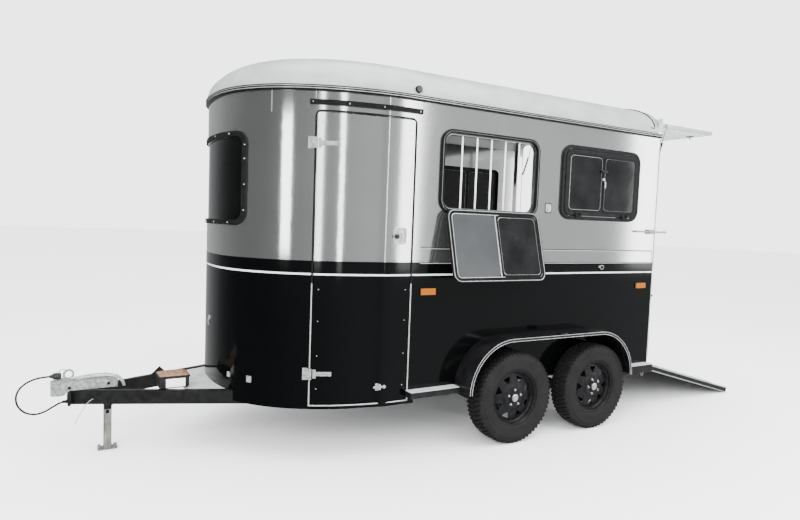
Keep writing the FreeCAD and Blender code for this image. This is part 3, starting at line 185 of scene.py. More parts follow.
SILVER, BLACK, LINE = (0.45, 0.46, 0.452), (0.0010, 0.0011, 0.0012), (0.66, 0.67, 0.66)
ROOF = (0.30, 0.31, 0.305)
lower = [(0.0, BLACK, 0.0), (1.2500, LINE, 0.2), (1.2620, BLACK, 0.0), (COLOUR_LINE, SILVER, 0.95)]
side = [(0.0, BLACK, 0.0), (1.1720, LINE, 0.3), (1.1785, BLACK, 0.0)] + lower[1:]
zoned("nose_paint", lower)
zoned("side_paint", side)
zoned("portal_paint", lower + [(WALL_TOP, ROOF, 0.15)])
plain("roof_skin", (0.27, 0.28, 0.275), (0.33, 0.34, 0.335), (0.24, 0.36), 0.12, 5, depth=0.00003)
plain("chassis_black", (0.003, 0.003, 0.0032), (0.007, 0.007, 0.0075), (0.32, 0.5), 0.0, 25,
      depth=0.0001)
plain("fender_gloss", (0.003, 0.003, 0.0035), (0.006, 0.006, 0.0065), (0.16, 0.26), 0.0, 9,
      depth=0.00004, Coat_Weight=0.3)
plain("zinc_plate", (0.19, 0.195, 0.195), (0.38, 0.385, 0.38), (0.22, 0.42), 0.5, 60, grain=500)
plain("stand_steel", (0.13, 0.13, 0.12), (0.26, 0.255, 0.24), (0.3, 0.5), 0.5, 30, (1, 1, 0.4), grain=500)
plain("chrome", (0.80, 0.81, 0.82), (0.88, 0.89, 0.90), (0.05, 0.12), 1.0, 30, depth=0.00001)
plain("bright_trim", (0.38, 0.39, 0.39), (0.52, 0.53, 0.52), (0.16, 0.30), 0.6, 40, (1, 1, 0.2))
plain("grey_sheet", (0.42, 0.43, 0.42), (0.52, 0.53, 0.52), (0.35, 0.55), 0.2, 14)
plain("rubber_black", (0.0025, 0.0025, 0.0025), (0.006, 0.006, 0.006), (0.5, 0.72), 0.0, 40, depth=0.0001)
plain("frame_black", (0.003, 0.003, 0.0033), (0.006, 0.006, 0.0064), (0.26, 0.42), 0.0, 30,
      Specular_IOR_Level=0.1)
plain("frame_grey", (0.005, 0.0055, 0.0055), (0.009, 0.0095, 0.0095), (0.34, 0.5), 0.0, 26, grain=700,
      Specular_IOR_Level=0.1)
plain("smoked_glass", (0.0010, 0.0012, 0.0012), (0.0022, 0.0024, 0.0024), (0.02, 0.06), 0.0, 3, grain=4,
      depth=0.0006, Specular_IOR_Level=0.22)
plain("grey_glass", (0.022, 0.024, 0.025), (0.034, 0.036, 0.037), (0.02, 0.05), 0.0, 3, grain=3,
      depth=0.001, Specular_IOR_Level=0.6, Coat_Weight=0.3, Coat_Roughness=0.02)
plain("pane_dark", (0.0030, 0.0032, 0.0032), (0.0075, 0.008, 0.008), (0.04, 0.10), 0.0, 5, grain=5,
      depth=0.0006, Specular_IOR_Level=0.2)
plain("battery_black", (0.005, 0.005, 0.005), (0.012, 0.011, 0.010), (0.35, 0.6), 0.0, 50,
      depth=0.0002)
plain("tan_lid", (0.13, 0.062, 0.032), (0.27, 0.145, 0.080), (0.4, 0.65), 0.0, 38, (1, 2.5, 1), depth=0.0004)
plain("white_label", (0.72, 0.72, 0.70), (0.82, 0.82, 0.80), (0.4, 0.5), 0.0, 30)
plain("floor_rubber", (0.012, 0.012, 0.012), (0.026, 0.026, 0.026), (0.6, 0.85), 0.0, 70, depth=0.0008)
plain("inner_board", (0.10, 0.10, 0.095), (0.16, 0.16, 0.15), (0.45, 0.6), 0.0, 12)
plain("bar_white", (0.70, 0.70, 0.69), (0.80, 0.80, 0.79), (0.2, 0.35), 0.0, 20, Coat_Weight=0.3)
plain("pane_bead", (0.12, 0.125, 0.125), (0.20, 0.205, 0.205), (0.2, 0.35), 0.3, 40)
plain("canopy_shell", (0.60, 0.61, 0.60), (0.70, 0.71, 0.70), (0.25, 0.4), 0.1, 6)
plain("strut_black", (0.006, 0.006, 0.006), (0.012, 0.012, 0.012), (0.2, 0.34), 0.2, 30)
plain("rod_steel", (0.55, 0.56, 0.57), (0.66, 0.67, 0.68), (0.10, 0.2), 1.0, 60, (1, 1, 0.1))
plain("wheel_black", (0.004, 0.004, 0.0045), (0.009, 0.009, 0.0095), (0.3, 0.46), 0.2, 45, depth=0.0001)
plain("lead_rubber", (0.003, 0.003, 0.003), (0.006, 0.006, 0.006), (0.42, 0.6), 0.0, 80, depth=0.0001)
plain("plug_black", (0.014, 0.014, 0.015), (0.024, 0.024, 0.025), (0.3, 0.45), 0.0, 40)
plain("knob_black", (0.008, 0.008, 0.009), (0.016, 0.016, 0.017), (0.25, 0.4), 0.0, 40)


def lens(name, colour, upper=None):
    """Ribbed clear plastic; upper is the colour above the walls."""
    made = Finish(name)
    ribs = made.add("ShaderNodeTexWave", wave_type="BANDS", bands_direction="Y")
    ribs.inputs["Scale"].default_value = 60.0
    made.link(made.place, ribs.inputs["Vector"])
    dim = tuple(part * 0.72 for part in colour)
    ribbed = made.ramp(ribs.outputs["Fac"], [(0.0, dim), (1.0, colour)])
    if upper:
        mix = made.add("ShaderNodeMix", data_type="RGBA")
        above = made.ramp(made.axis("Z", 0.0, ZONES_TOP), [(0.0, 0.0), (0.8, 1.0)], "CONSTANT")
        made.link(above, mix.inputs[0])
        made.link(ribbed, mix.inputs[6])
        mix.inputs[7].default_value = (*upper, 1.0)
        ribbed = mix.outputs[2]
    made.colour(ribbed)
    made.roughness(0.12, 0.2)
    made.bump(ribs.outputs["Fac"], 0.0008)
    made.set(Specular_IOR_Level=0.3)
    LOOKS[name] = made.material


lens("amber_lens", (0.26, 0.068, 0.0), upper=(0.035, 0.035, 0.033))
lens("red_lens", (0.40, 0.006, 0.005))


def tyre_rubber():
    """Matt dark rubber with a little brownish dust."""
    made = Finish("tyre_rubber")
    dust = made.ramp(made.noise(55, 6, rough=0.6),
                     [(0.35, (0.004, 0.004, 0.004)), (0.75, (0.016, 0.015, 0.013))])
    clean = made.ramp(made.noise(9, 3), [(0.3, (0.005, 0.005, 0.0052)), (0.7, (0.009, 0.009, 0.009))])
    made.colour(made.blended("MIX", 0.35, clean, dust))
    made.roughness(0.55, 0.8, 20)
    made.bump(made.noise(420, 3), 0.0003)
    made.set(Specular_IOR_Level=0.18)
    LOOKS["tyre_rubber"] = made.material


def barred_frame():
    """Black frame outside, white bars inside."""
    made = Finish("barred_frame")
    out = made.axis("X", 0.90, 1.00)
    frame_colour = made.ramp(out, [(0.0, (0.72, 0.72, 0.71)), (0.37, (0.003, 0.003, 0.0033))], "CONSTANT")
    soil = made.ramp(made.noise(30, 4), [(0.3, 0.82), (0.7, 1.0)])
    made.colour(made.blended("MULTIPLY", 1.0, frame_colour, soil))
    made.roughness(0.22, 0.38)
    made.bump(made.noise(300, 2), 0.00005)
    made.set(Specular_IOR_Level=0.12)
    LOOKS["barred_frame"] = made.material


def ramp_grip():
    """Dark ramp covering with a raised grain of small blocks."""
    made = Finish("ramp_grip")
    cells = made.add("ShaderNodeTexVoronoi", feature="F1", distance="CHEBYCHEV")
    cells.inputs["Scale"].default_value = 90.0
    cells.inputs["Randomness"].default_value = 0.25
    made.link(made.place, cells.inputs["Vector"])
    made.colour(made.ramp(made.noise(24, 6), [(0.3, (0.035, 0.036, 0.036)), (0.7, (0.085, 0.087, 0.086))]))
    made.roughness(0.6, 0.85, 30)
    made.bump(cells.outputs["Distance"], 0.0012)
    LOOKS["ramp_grip"] = made.material


tyre_rubber()
barred_frame()
ramp_grip()

NODE_LOOKS = {
    "axles": "chassis_black", "battery_box": "battery_black", "brake_lever": "bright_trim",
    "breast_bars": "rubber_black", "canopy": "canopy_shell", "chassis_rails": "chassis_black",
    "coupling": "zinc_plate", "coupling_handle": "zinc_plate", "crossmembers": "chassis_black",
    "divider": "inner_board", "door_gutter": "frame_black", "door_hinges": "zinc_plate",
    "drawbar_bracket": "chassis_black", "drawbar_nose": "chassis_black", "drawbar_plate": "grey_sheet",
    "drip_rail": "frame_black", "floor": "floor_rubber", "groom_door": "nose_paint",
    "marker_lamps": "amber_lens", "nose_wall": "nose_paint", "nose_window": "smoked_glass",
    "nose_window_frame": "rubber_black", "ramp": "chassis_black", "ramp_latches": "zinc_plate",
    "rear_portal": "portal_paint", "roof_vent": "grey_sheet", "side_steps": "chassis_black",
    "stand_bracket": "chassis_black", "stand_leg": "stand_steel", "tail_lamps": "red_lens",
}
for hand in ("left", "right"):
    NODE_LOOKS.update({
        f"{hand}_drawbar_beam": "chassis_black", f"{hand}_fender": "fender_gloss",
        f"{hand}_wall": "side_paint", f"{hand}_front_window_frame": "barred_frame",
        f"{hand}_rear_window_frame": "frame_grey", f"{hand}_front_sash": "frame_black",
        f"{hand}_rear_sash": "frame_grey", f"{hand}_strut_cylinder": "strut_black",
        f"{hand}_strut_rod": "rod_steel"})
for name, look in NODE_LOOKS.items():
    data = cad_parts[name].data
    data.materials.clear()
    data.materials.append(LOOKS[look])


# ---------------------------------------------------------------- mesh building
def brick(low, high, radius=0.002, segments=2):
    """A block between two corners with rounded edges."""
    low, high = Vector(low), Vector(high)
    size = high - low
    made = bmesh.new()
    bmesh.ops.create_cube(made, size=1.0)
    bmesh.ops.transform(made, matrix=Matrix.Translation((low + high) / 2) @ Matrix.Diagonal((*size, 1)),
                        verts=made.verts)
    radius = min(radius, min(size) * 0.45)
    bmesh.ops.bevel(made, geom=made.edges[:], offset=radius, segments=segments, profile=0.5,
                    affect="EDGES")
    return taken(made)


def taken(made):
    """Points and faces of a bmesh, which is freed."""
    made.verts.ensure_lookup_table()
    made.verts.index_update()
    verts = [vert.co.copy() for vert in made.verts]
    faces = [[vert.index for vert in face.verts] for face in made.faces]
    made.free()
    return verts, faces


def skinned(rings, closed=False, capped=True):
    """Faces between rings of equal length; a closed run joins the last ring to the first."""
    verts = [Vector(point) for ring in rings for point in ring]
    count, total = len(rings[0]), len(rings)
    faces = []
    for row in range(total if closed else total - 1):
        a, b = row * count, (row + 1) % total * count
        for col in range(count):
            on = (col + 1) % count
            faces.append([a + col, a + on, b + on, b + col])
    if capped and not closed:
        faces.append(list(range(count))[::-1])
        faces.append(list(range((total - 1) * count, total * count)))
    return verts, faces


def tube(points, radius, sides=12, closed=False, taper=None):
    """A round bar along points; taper gives one radius a point."""
    points = [Vector(point) for point in points]
    count = len(points)
    rings, normal = [], None
    for index, point in enumerate(points):
        before = points[index - 1] if index or closed else point
        after = points[(index + 1) % count] if index < count - 1 or closed else point
        along = (after - before).normalized()
        if normal is None:
            normal = along.orthogonal().normalized()
        normal = (normal - along * normal.dot(along)).normalized()
        across = along.cross(normal)
        size = taper[index] if taper else radius
        rings.append([point + (normal * math.cos(turn) + across * math.sin(turn)) * size
                      for turn in (2 * math.pi * side / sides for side in range(sides))])
    return skinned(rings, closed)


def oval(x, y, z, along, up, steps):
    """Points of an oval round (x, y, z) in the y-z plane."""
    turns = (2 * math.pi * step / steps for step in range(steps))
    return [(x, y + along * math.cos(turn), z + up * math.sin(turn)) for turn in turns]


def lathe(profile, centre, axis="X", steps=48):
    """A closed section of (radius, along) points turned about an axis through centre."""
    centre, rings = Vector(centre), []
    for step in range(steps):
        turn = 2 * math.pi * step / steps
        c, s = math.cos(turn), math.sin(turn)
        ring = []
        for radius, along in profile:
            flat = {"X": (along, radius * c, radius * s), "Y": (radius * s, along, radius * c),
                    "Z": (radius * c, radius * s, along)}[axis]
            ring.append(centre + Vector(flat))
        rings.append(ring)
    return skinned(rings, closed=True)


def prism(outline, low, high, axis="X", edge=0.001):
    """A flat outline, given in the two other axes, drawn out along one axis with a small edge."""
    def point(a, b, along):
        return {"X": (along, a, b), "Y": (a, along, b), "Z": (a, b, along)}[axis]

    count = len(outline)
    centre = Vector((sum(a for a, _ in outline) / count, sum(b for _, b in outline) / count))
    drawn = []
    for a, b in outline:
        away = Vector((a, b)) - centre
        away *= max(0.0, 1 - edge / max(away.length, 1e-6))
        drawn.append((centre.x + away.x, centre.y + away.y))
    rings = [[point(a, b, low) for a, b in drawn], [point(a, b, low + edge) for a, b in outline],
             [point(a, b, high - edge) for a, b in outline], [point(a, b, high) for a, b in drawn]]
    return skinned(rings)


def rounded(width, height, radius, centre=(0, 0), steps=6):
    """Outline of a rounded rectangle."""
    points = []
    for corner, (sx, sy) in enumerate(((1, 1), (-1, 1), (-1, -1), (1, -1))):
        for step in range(steps + 1):
            turn = math.pi / 2 * (corner + step / steps)
            points.append((centre[0] + sx * (width / 2 - radius) + radius * math.cos(turn),
                           centre[1] + sy * (height / 2 - radius) + radius * math.sin(turn)))
    return points


def surround(width, height, radius, profile, centre=(0, 0), steps=6):
    """A frame round a rounded rectangle in the y-z plane: profile points are (inset, x)."""
    rings = []
    for inset, x in profile:
        loop = rounded(width - 2 * inset, height - 2 * inset, max(radius - inset, 0.004), centre, steps)
        rings.append([(x, a, b) for a, b in loop])
    return skinned(rings, closed=True)


def moved(part, matrix):
    """A part under a matrix, its faces turned back where that mirrors it."""
    verts, faces = part
    flip = matrix.determinant() < 0
    return [matrix @ Vector(vert) for vert in verts], [face[::-1] if flip else face for face in faces]


def mesh_of(name, parts):
    """One mesh with its faces turned outwards."""
    verts, faces = [], []
    for part_verts, part_faces in parts:
        base = len(verts)
        verts += [tuple(vert) for vert in part_verts]
        faces += [[base + index for index in face] for face in part_faces]
    mesh = bpy.data.meshes.new(name)
    mesh.from_pydata(verts, [], faces)
    made = bmesh.new()
    made.from_mesh(mesh)
    bmesh.ops.recalc_face_normals(made, faces=made.faces)
    made.to_mesh(mesh)
    made.free()
    return mesh


def linked(name, data):
    """A new object of the scene."""
    obj = bpy.data.objects.new(name, data)
    bpy.context.scene.collection.objects.link(obj)
    return obj


def piece(name, body, slot, look, *parts, matrix=None, sharp=40, replaces=()):
    """One object made of parts, riding on a body."""
    mesh = mesh_of(name, parts)
    if matrix is not None:
        mesh.transform(matrix)
        if matrix.determinant() < 0:
            mesh.flip_normals()
    mesh.polygons.foreach_set("use_smooth", [True] * len(mesh.polygons))
    mesh.set_sharp_from_angle(angle=math.radians(sharp))
    mesh.materials.append(LOOKS[look])
    obj = linked(name, mesh)
    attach(obj, body)
    if replaces:
        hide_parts(*replaces)
    return obj


MIRROR = Matrix.Diagonal((-1, 1, 1, 1))


def both_sides(name, body, slot, look, *parts, matrix=Matrix.Identity(4), replaces=(), **extra):
    """The same piece on the left and, mirrored, on the right."""
    for hand, turn in (("left", Matrix.Identity(4)), ("right", MIRROR)):
        piece(f"{hand}_{name}", body.format(hand=hand), slot, look, *parts, matrix=turn @ matrix,
              replaces=[node.format(hand=hand) for node in replaces], **extra)


def skin_x(y, out=0.0):
    """x of the body's left skin at y, with the skin grown by out."""
    half, depth = HALF + out, NOSE_DEPTH + out
    if y >= NOSE_START:
        return half
    ahead = min((NOSE_START - y) / depth, 1.0) ** 1.95
    return half * (1 - ahead) ** 0.4


def screw_head(radius, crown, base, shoulder, top):
    """Section of a domed head: radius at its base and at its shoulder, and their heights."""
    return [(0.0001, base), (radius, base), (crown, shoulder), (0.0001, top)]


def stud(radius, crown, base, shoulder, top):
    """Section of a short round bar with a bevel on its end."""
    return [(0.0001, base), (radius, base), (radius, shoulder), (crown, top), (0.0001, top)]


def placed(place, *parts):
    return [moved(part, place) for part in parts]


def quarter(steps, first=0):
    """Angles of a quarter turn."""
    return (math.pi / 2 * step / steps for step in range(first, steps + 1))


def on_skin(y, z):
    """Matrix of a place on the left skin: x points out of it, y along it to the rear, z up."""
    step = 0.002
    along = Vector((skin_x(y + step) - skin_x(y - step), 2 * step, 0)).normalized()
    out = Vector((along.y, -along.x, 0))
    return Matrix(((out.x, along.x, 0, skin_x(y)), (out.y, along.y, 0, y), (0, 0, 1, z), (0, 0, 0, 1)))


# ---------------------------------------------------------------- camera and lead
TURN, DIP, ROLL = math.radians(60.336), math.radians(3.665), math.radians(2.118)
back = Vector((math.sin(TURN) * math.cos(DIP), -math.cos(TURN) * math.cos(DIP), math.sin(DIP)))
right = (-back).cross(Vector((0, 0, 1))).normalized()
up = right.cross(-back)
right, up = right * math.cos(ROLL) + up * math.sin(ROLL), up * math.cos(ROLL) - right * math.sin(ROLL)
camera = linked("camera", bpy.data.cameras.new("camera"))
camera.matrix_world = Matrix(((right.x, up.x, back.x, 4.4600), (right.y, up.y, back.y, -2.9517),
                              (right.z, up.z, back.z, 1.6167), (0, 0, 0, 1)))
camera.data.sensor_width = 36.0
camera.data.lens = 26.94
camera.data.shift_x, camera.data.shift_y = -0.0006, 0.0011
camera.data.clip_end = 200.0
bpy.context.scene.camera = camera

LEAD = [(0.046, -3.320, 0.366), (0.046, -3.356, 0.366), (0.048, -3.402, 0.340), (0.050, -3.455, 0.309),
        (0.048, -3.508, 0.300), (0.043, -3.558, 0.316), (0.035, -3.596, 0.356), (0.022, -3.610, 0.408),
        (0.008, -3.597, 0.458), (-0.004, -3.558, 0.496), (-0.012, -3.510, 0.516),
        (-0.016, -3.464, 0.5236), (-0.018, -3.424, 0.5243)]
LEAD = [(x, y + MIDDLE_Y, z) for x, y, z in LEAD]


def electric_lead():
    curve = bpy.data.curves.new("electric_lead_cord", "CURVE")
    curve.dimensions = "3D"
    curve.bevel_depth = 0.006
    curve.bevel_resolution = 5
    curve.resolution_u = 10
    curve.use_fill_caps = True
    line = curve.splines.new("NURBS")
    line.points.add(len(LEAD) - 1)
    for point, place in zip(line.points, LEAD):
        point.co = (*place, 1.0)
    line.use_endpoint_u = True
    line.order_u = 3
    curve.materials.append(LOOKS["lead_rubber"])
    cord = linked("electric_lead_cord", curve)
    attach(cord, "body")
    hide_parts("electric_lead")
    shell = [(0.0065, 0.0), (0.009, 0.001), (0.012, 0.012), (0.0165, 0.020), (0.0205, 0.024), (0.0215, 0.027),
             (0.0215, 0.052), (0.0195, 0.054), (0.0195, 0.068), (0.0185, 0.070), (0.013, 0.070),
             (0.013, 0.058), (0.0002, 0.058), (0.0002, 0.0)]
    grips = [moved(brick((-0.0015, 0.028, 0.0205), (0.0015, 0.051, 0.0220), 0.0005),
                   Matrix.Rotation(2 * math.pi * count / 14, 4, "Y")) for count in range(14)]
    at_plug = Matrix.Translation(LEAD[-1])
    plug = piece("lead_plug_body", "body", "plug_plastic", "plug_black", lathe(shell, (0, 0, 0), "Y"), *grips,
                 matrix=at_plug, replaces=("lead_plug",))
    pin = [(0.0022, 0.058), (0.0022, 0.067), (0.0014, 0.069), (0.0001, 0.069), (0.0001, 0.058)]
    pins = [lathe(pin, (across, 0, height), "Y", 10) for _, across, height in oval(0, 0, 0, 0.008, 0.008, 7)]
    contacts = piece("lead_plug_pins", "body", "plug_plastic", "bright_trim", *pins, matrix=at_plug)
    relief = [(0.0062, 0.0), (0.0125, 0.0), (0.0125, -0.006), (0.0105, -0.008), (0.0098, -0.014),
              (0.0088, -0.020), (0.0078, -0.028), (0.0066, -0.032), (0.0061, -0.032)]
    gland = piece("lead_relief", "body", "lead_rubber", "rubber_black", lathe(relief, LEAD[0], "Y", 24))


electric_lead()


# ---------------------------------------------------------------- wheels
def tyre_mesh():
    """Tyre about its own centre: carcass with ribs on its side, and the blocks of its tread."""
    side = [(0.2060, 0.0660), (0.2080, 0.0735), (0.2160, 0.0800), (0.2220, 0.0832), (0.2260, 0.0852),
            (0.2285, 0.0862), (0.2310, 0.0858), (0.2480, 0.0888), (0.2660, 0.0905), (0.2860, 0.0898),
            (0.2880, 0.0908), (0.2910, 0.0906), (0.2930, 0.0892), (0.3050, 0.0868), (0.3170, 0.0826),
            (0.3260, 0.0775), (0.3315, 0.0700), (0.3345, 0.0560), (0.3355, 0.0300), (0.3358, 0.0)]
    profile = side + [(radius, -x) for radius, x in side[-2::-1]]
    parts = [lathe(profile, (0, 0, 0), "X", 96)]
    blocks = 60
    pitch = 2 * math.pi / blocks

    def block(shape, turn, low, high, shrink=0.0012):
        middle = (sum(a for a, _ in shape) / len(shape), sum(b for _, b in shape) / len(shape))
        rings = []
        for radius, draw in ((low, -shrink * 0.4), (high - 0.0012, 0.0), (high, shrink)):
            ring = []
            for a, b in shape:
                da, db = a - middle[0], b - middle[1]
                size = max(math.hypot(da, db), 1e-6)
                keep = 1 - draw / size
                x, arc = middle[0] + da * keep, middle[1] + db * keep
                drop = max(abs(x) - 0.045, 0.0) ** 2 * 5.5
                angle = turn + arc / 0.345
                ring.append((x, (radius - drop) * math.cos(angle), (radius - drop) * math.sin(angle)))
            rings.append(ring)
        return skinned(rings)

    centre = [(-0.0125, -0.017), (0.0015, -0.0195), (0.0125, -0.011), (0.0125, 0.008), (0.003, 0.0145),
              (-0.0125, 0.0115)]
    inner = [(-0.013, -0.0165), (0.0135, -0.012), (0.0135, 0.0035), (0.0045, 0.0065), (0.0045, 0.0145),
             (-0.013, 0.0115)]
    outer = [(-0.0155, -0.0145), (0.0155, -0.018), (0.0155, -0.0015), (0.0075, 0.0005), (0.0075, 0.012),
             (-0.0155, 0.0135)]
    for count in range(blocks):
        turn = count * pitch
        for row, offset, share in ((centre, 0.0, 0.0), (inner, 0.0305, 0.45), (outer, 0.0620, 0.1)):
            for sign in (1, -1):
                if offset == 0.0 and sign < 0:
                    continue
                slip = share if sign > 0 else share + 0.5
                shape = [(sign * (a + offset), 0.77 * b * sign) for a, b in row]
                parts.append(block(shape, turn + slip * pitch, 0.3330, 0.3447))
        for sign in (1, -1):
            slip = turn + (0.1 if sign > 0 else 0.6) * pitch
            reach = 0.0100 if count % 2 else 0.0040
            lug = brick((0.0700, -0.0080, 0.3240 - reach), (0.0800, 0.0055, 0.3285), 0.0022, 2)
            lug = moved(lug, Matrix.Diagonal((sign, 1, 1, 1)))
            parts.append(moved(lug, Matrix.Rotation(slip, 4, "X")))
    return parts


def hand_hole(turn):
    """Rounded triangle, wide outwards, as a prism along x."""
    corners = [Vector((0.108, 0.0)), Vector((0.158, 0.0315)), Vector((0.158, -0.0315))]
    middle = (corners[0] + corners[1] + corners[2]) / 3
    outline = []
    for index, corner in enumerate(corners):
        before, after = corners[index - 1], corners[(index + 1) % 3]
        for step in range(5):
            share = step / 4
            a = corner.lerp(before, 0.20)
            b = corner.lerp(after, 0.20)
            point = a.lerp(corner, share).lerp(corner.lerp(b, share), share)
            outline.append((middle + (point - middle) * 1.06)[:])
    spun = [(a * math.cos(turn) - b * math.sin(turn), a * math.sin(turn) + b * math.cos(turn))
            for a, b in outline]
    return prism(spun, 0.0, 0.08, edge=0.0001)


def wheel_disc():
    """The wheel's face with its eight holes, cut from a turned dish."""
    dish = [(0.1830, 0.0240), (0.1750, 0.0250), (0.1640, 0.0300), (0.1500, 0.0345), (0.1200, 0.0390),
            (0.0980, 0.0430), (0.0900, 0.0480), (0.0840, 0.0520), (0.0780, 0.0530), (0.0400, 0.0530),
            (0.0400, 0.0485), (0.0760, 0.0485), (0.0810, 0.0475), (0.0870, 0.0435), (0.0960, 0.0385),
            (0.1190, 0.0345), (0.1490, 0.0300), (0.1620, 0.0258), (0.1740, 0.0208), (0.1830, 0.0200)]
    face = linked("disc_blank", mesh_of("disc_blank", [lathe(dish, (0, 0, 0), "X", 96)]))
    cuts = [hand_hole(2 * math.pi * (count + 0.5) / 8) for count in range(8)]
    holes = linked("disc_holes", mesh_of("disc_holes", cuts))
    cutter = face.modifiers.new("holes", "BOOLEAN")
    cutter.operation = "DIFFERENCE"
    cutter.solver = "EXACT"
    cutter.object = holes
    bpy.context.view_layer.update()
    whole = bpy.data.meshes.new_from_object(face.evaluated_get(bpy.context.evaluated_depsgraph_get()))
    verts = [vert.co.copy() for vert in whole.vertices]
    faces = [list(polygon.vertices) for polygon in whole.polygons]
    for obj in (face, holes):
        mesh = obj.data
        bpy.data.objects.remove(obj)
        bpy.data.meshes.remove(mesh)
    bpy.data.meshes.remove(whole)
    return verts, faces


def wheels():
    rim = [(0.2160, 0.0700), (0.2160, 0.0748), (0.2130, 0.0750), (0.2085, 0.0725), (0.2045, 0.0650),
           (0.1965, 0.0620), (0.1930, 0.0565), (0.1905, 0.0420), (0.1850, 0.0375), (0.1805, 0.0310),
           (0.1785, 0.0000), (0.1900, -0.0300), (0.2020, -0.0600), (0.2110, -0.0700), (0.2160, -0.0748),
           (0.2160, -0.0690), (0.2060, -0.0640), (0.1950, -0.0300), (0.1840, 0.0000), (0.1840, 0.0260),
           (0.1885, 0.0335), (0.1945, 0.0385), (0.1970, 0.0570), (0.2050, 0.0605), (0.2090, 0.0670)]
    drum = [(0.0300, -0.0880), (0.1680, -0.0880), (0.1680, -0.0830), (0.1180, -0.0800), (0.1180, 0.0180),
            (0.1000, 0.0200), (0.1000, 0.0380), (0.0300, 0.0400)]
    boss = [(0.0410, 0.0480), (0.0410, 0.0600), (0.0395, 0.0625), (0.0330, 0.0625), (0.0310, 0.0600),
            (0.0310, 0.0480)]
    cap = [(0.0305, 0.0500), (0.0305, 0.0640), (0.0290, 0.0690), (0.0240, 0.0725), (0.0150, 0.0742),
           (0.0002, 0.0746), (0.0002, 0.0500)]
    rings = [lathe(rim, (0, 0, 0), "X", 96), lathe(drum, (0, 0, 0), "X", 48),
             lathe(boss, (0, 0, 0), "X", 40), wheel_disc()]
    bright = [lathe(cap, (0, 0, 0), "X", 40)]
    for count in range(5):
        turn = 2 * math.pi * count / 5 + 0.3
        y, z = 0.0585 * math.cos(turn), 0.0585 * math.sin(turn)
        nut = [(y + 0.0105 * math.cos(a), z + 0.0105 * math.sin(a))
               for a in (2 * math.pi * corner / 6 for corner in range(6))]
        bright.append(prism(nut, 0.0525, 0.0620, edge=0.0008))
        bright.append(lathe([(0.0072, 0.0615), (0.0072, 0.0680), (0.0050, 0.0700), (0.0001, 0.0702),
                             (0.0001, 0.0615)], (0, y, z), "X", 16))
    valve = tube([(0.030, 0.172, 0.0), (0.045, 0.170, 0.0), (0.058, 0.165, 0.0)], 0.0035, 10)
    tread = tyre_mesh()
    for axle, y in (("front", -0.4145), ("rear", 0.4145)):
        rolled = Matrix.Rotation(0.35 if y > 0 else 0.0, 4, "X")
        centre = Matrix.Translation((1.022, y + MIDDLE_Y, 0.345)) @ rolled
        body = "{hand}_" + axle + "_wheel_set"
        both_sides(f"{axle}_tyre_tread", body, "tyre", "tyre_rubber", *tread, matrix=centre, sharp=32,
                   replaces=("{hand}_" + axle + "_tyre",))
        both_sides(f"{axle}_rim", body, "wheel_steel", "wheel_black", *rings, matrix=centre, sharp=28,
                   replaces=("{hand}_" + axle + "_wheel",))
        both_sides(f"{axle}_hub_cap", body, "zinc", "chrome", *bright, matrix=centre, sharp=30)
        both_sides(f"{axle}_valve", body, "wheel_steel", "rubber_black", valve, matrix=centre)


wheels()


# ---------------------------------------------------------------- roof
def roof_ring(angle, inset, rise, columns=56, straight=18):
    """Line round the roof from its right rear corner by the nose to its left rear corner."""
    share, height = math.sqrt(max(math.cos(angle), 0.0)), rise * math.sin(angle)
    half, depth = HALF + 0.012 - inset, NOSE_DEPTH + 0.012 - inset
    rear = REAR - 0.050
    points = []
    for step in range(straight):
        points.append((-half * share, rear + (NOSE_START - rear) * step / straight, WALL_TOP + height))
    for step in range(columns + 1):
        turn = math.pi * step / columns
        across, ahead = math.cos(turn), math.sin(turn)
        x = -half * math.copysign(abs(across) ** 0.8, across)
        y = -depth * abs(ahead) ** (2 / 1.95)
        points.append((x * share, NOSE_START + y * share, WALL_TOP + height))
    for step in range(1, straight + 1):
        points.append((half * share, NOSE_START + (rear - NOSE_START) * step / straight, WALL_TOP + height))
    return points


def drip_rail():
    """Three dark ribs round the body with bright lines between them."""
    def band(profile):
        lines = []
        for out, z in profile:
            line = [(x, y, z) for x, y, _ in roof_ring(0.0, 0.012 - out, 0.0)]
            line[0] = (line[0][0], REAR - 0.001, z)
            line[-1] = (line[-1][0], REAR - 0.001, z)
            lines.append(line)
        return skinned([[line[step] for line in lines] for step in range(len(lines[0]))])

    ribs = [band([(0.0005, low), (0.0195, low), (0.0213, low + 0.0015), (0.0213, high - 0.0015),
                  (0.0195, high), (0.0005, high)])
            for low, high in ((2.4395, 2.4500), (2.4545, 2.4635), (2.4675, 2.4745))]
    piece("drip_rail_ribs", "body", "rail_trim", "frame_black", *ribs, replaces=("drip_rail",))
    lines = [band([(0.0005, low), (0.0185, low), (0.0185, high), (0.0005, high)])
             for low, high in ((2.4500, 2.4545), (2.4635, 2.4675))]
    piece("drip_rail_lines", "body", "rail_trim", "bright_trim", *lines)


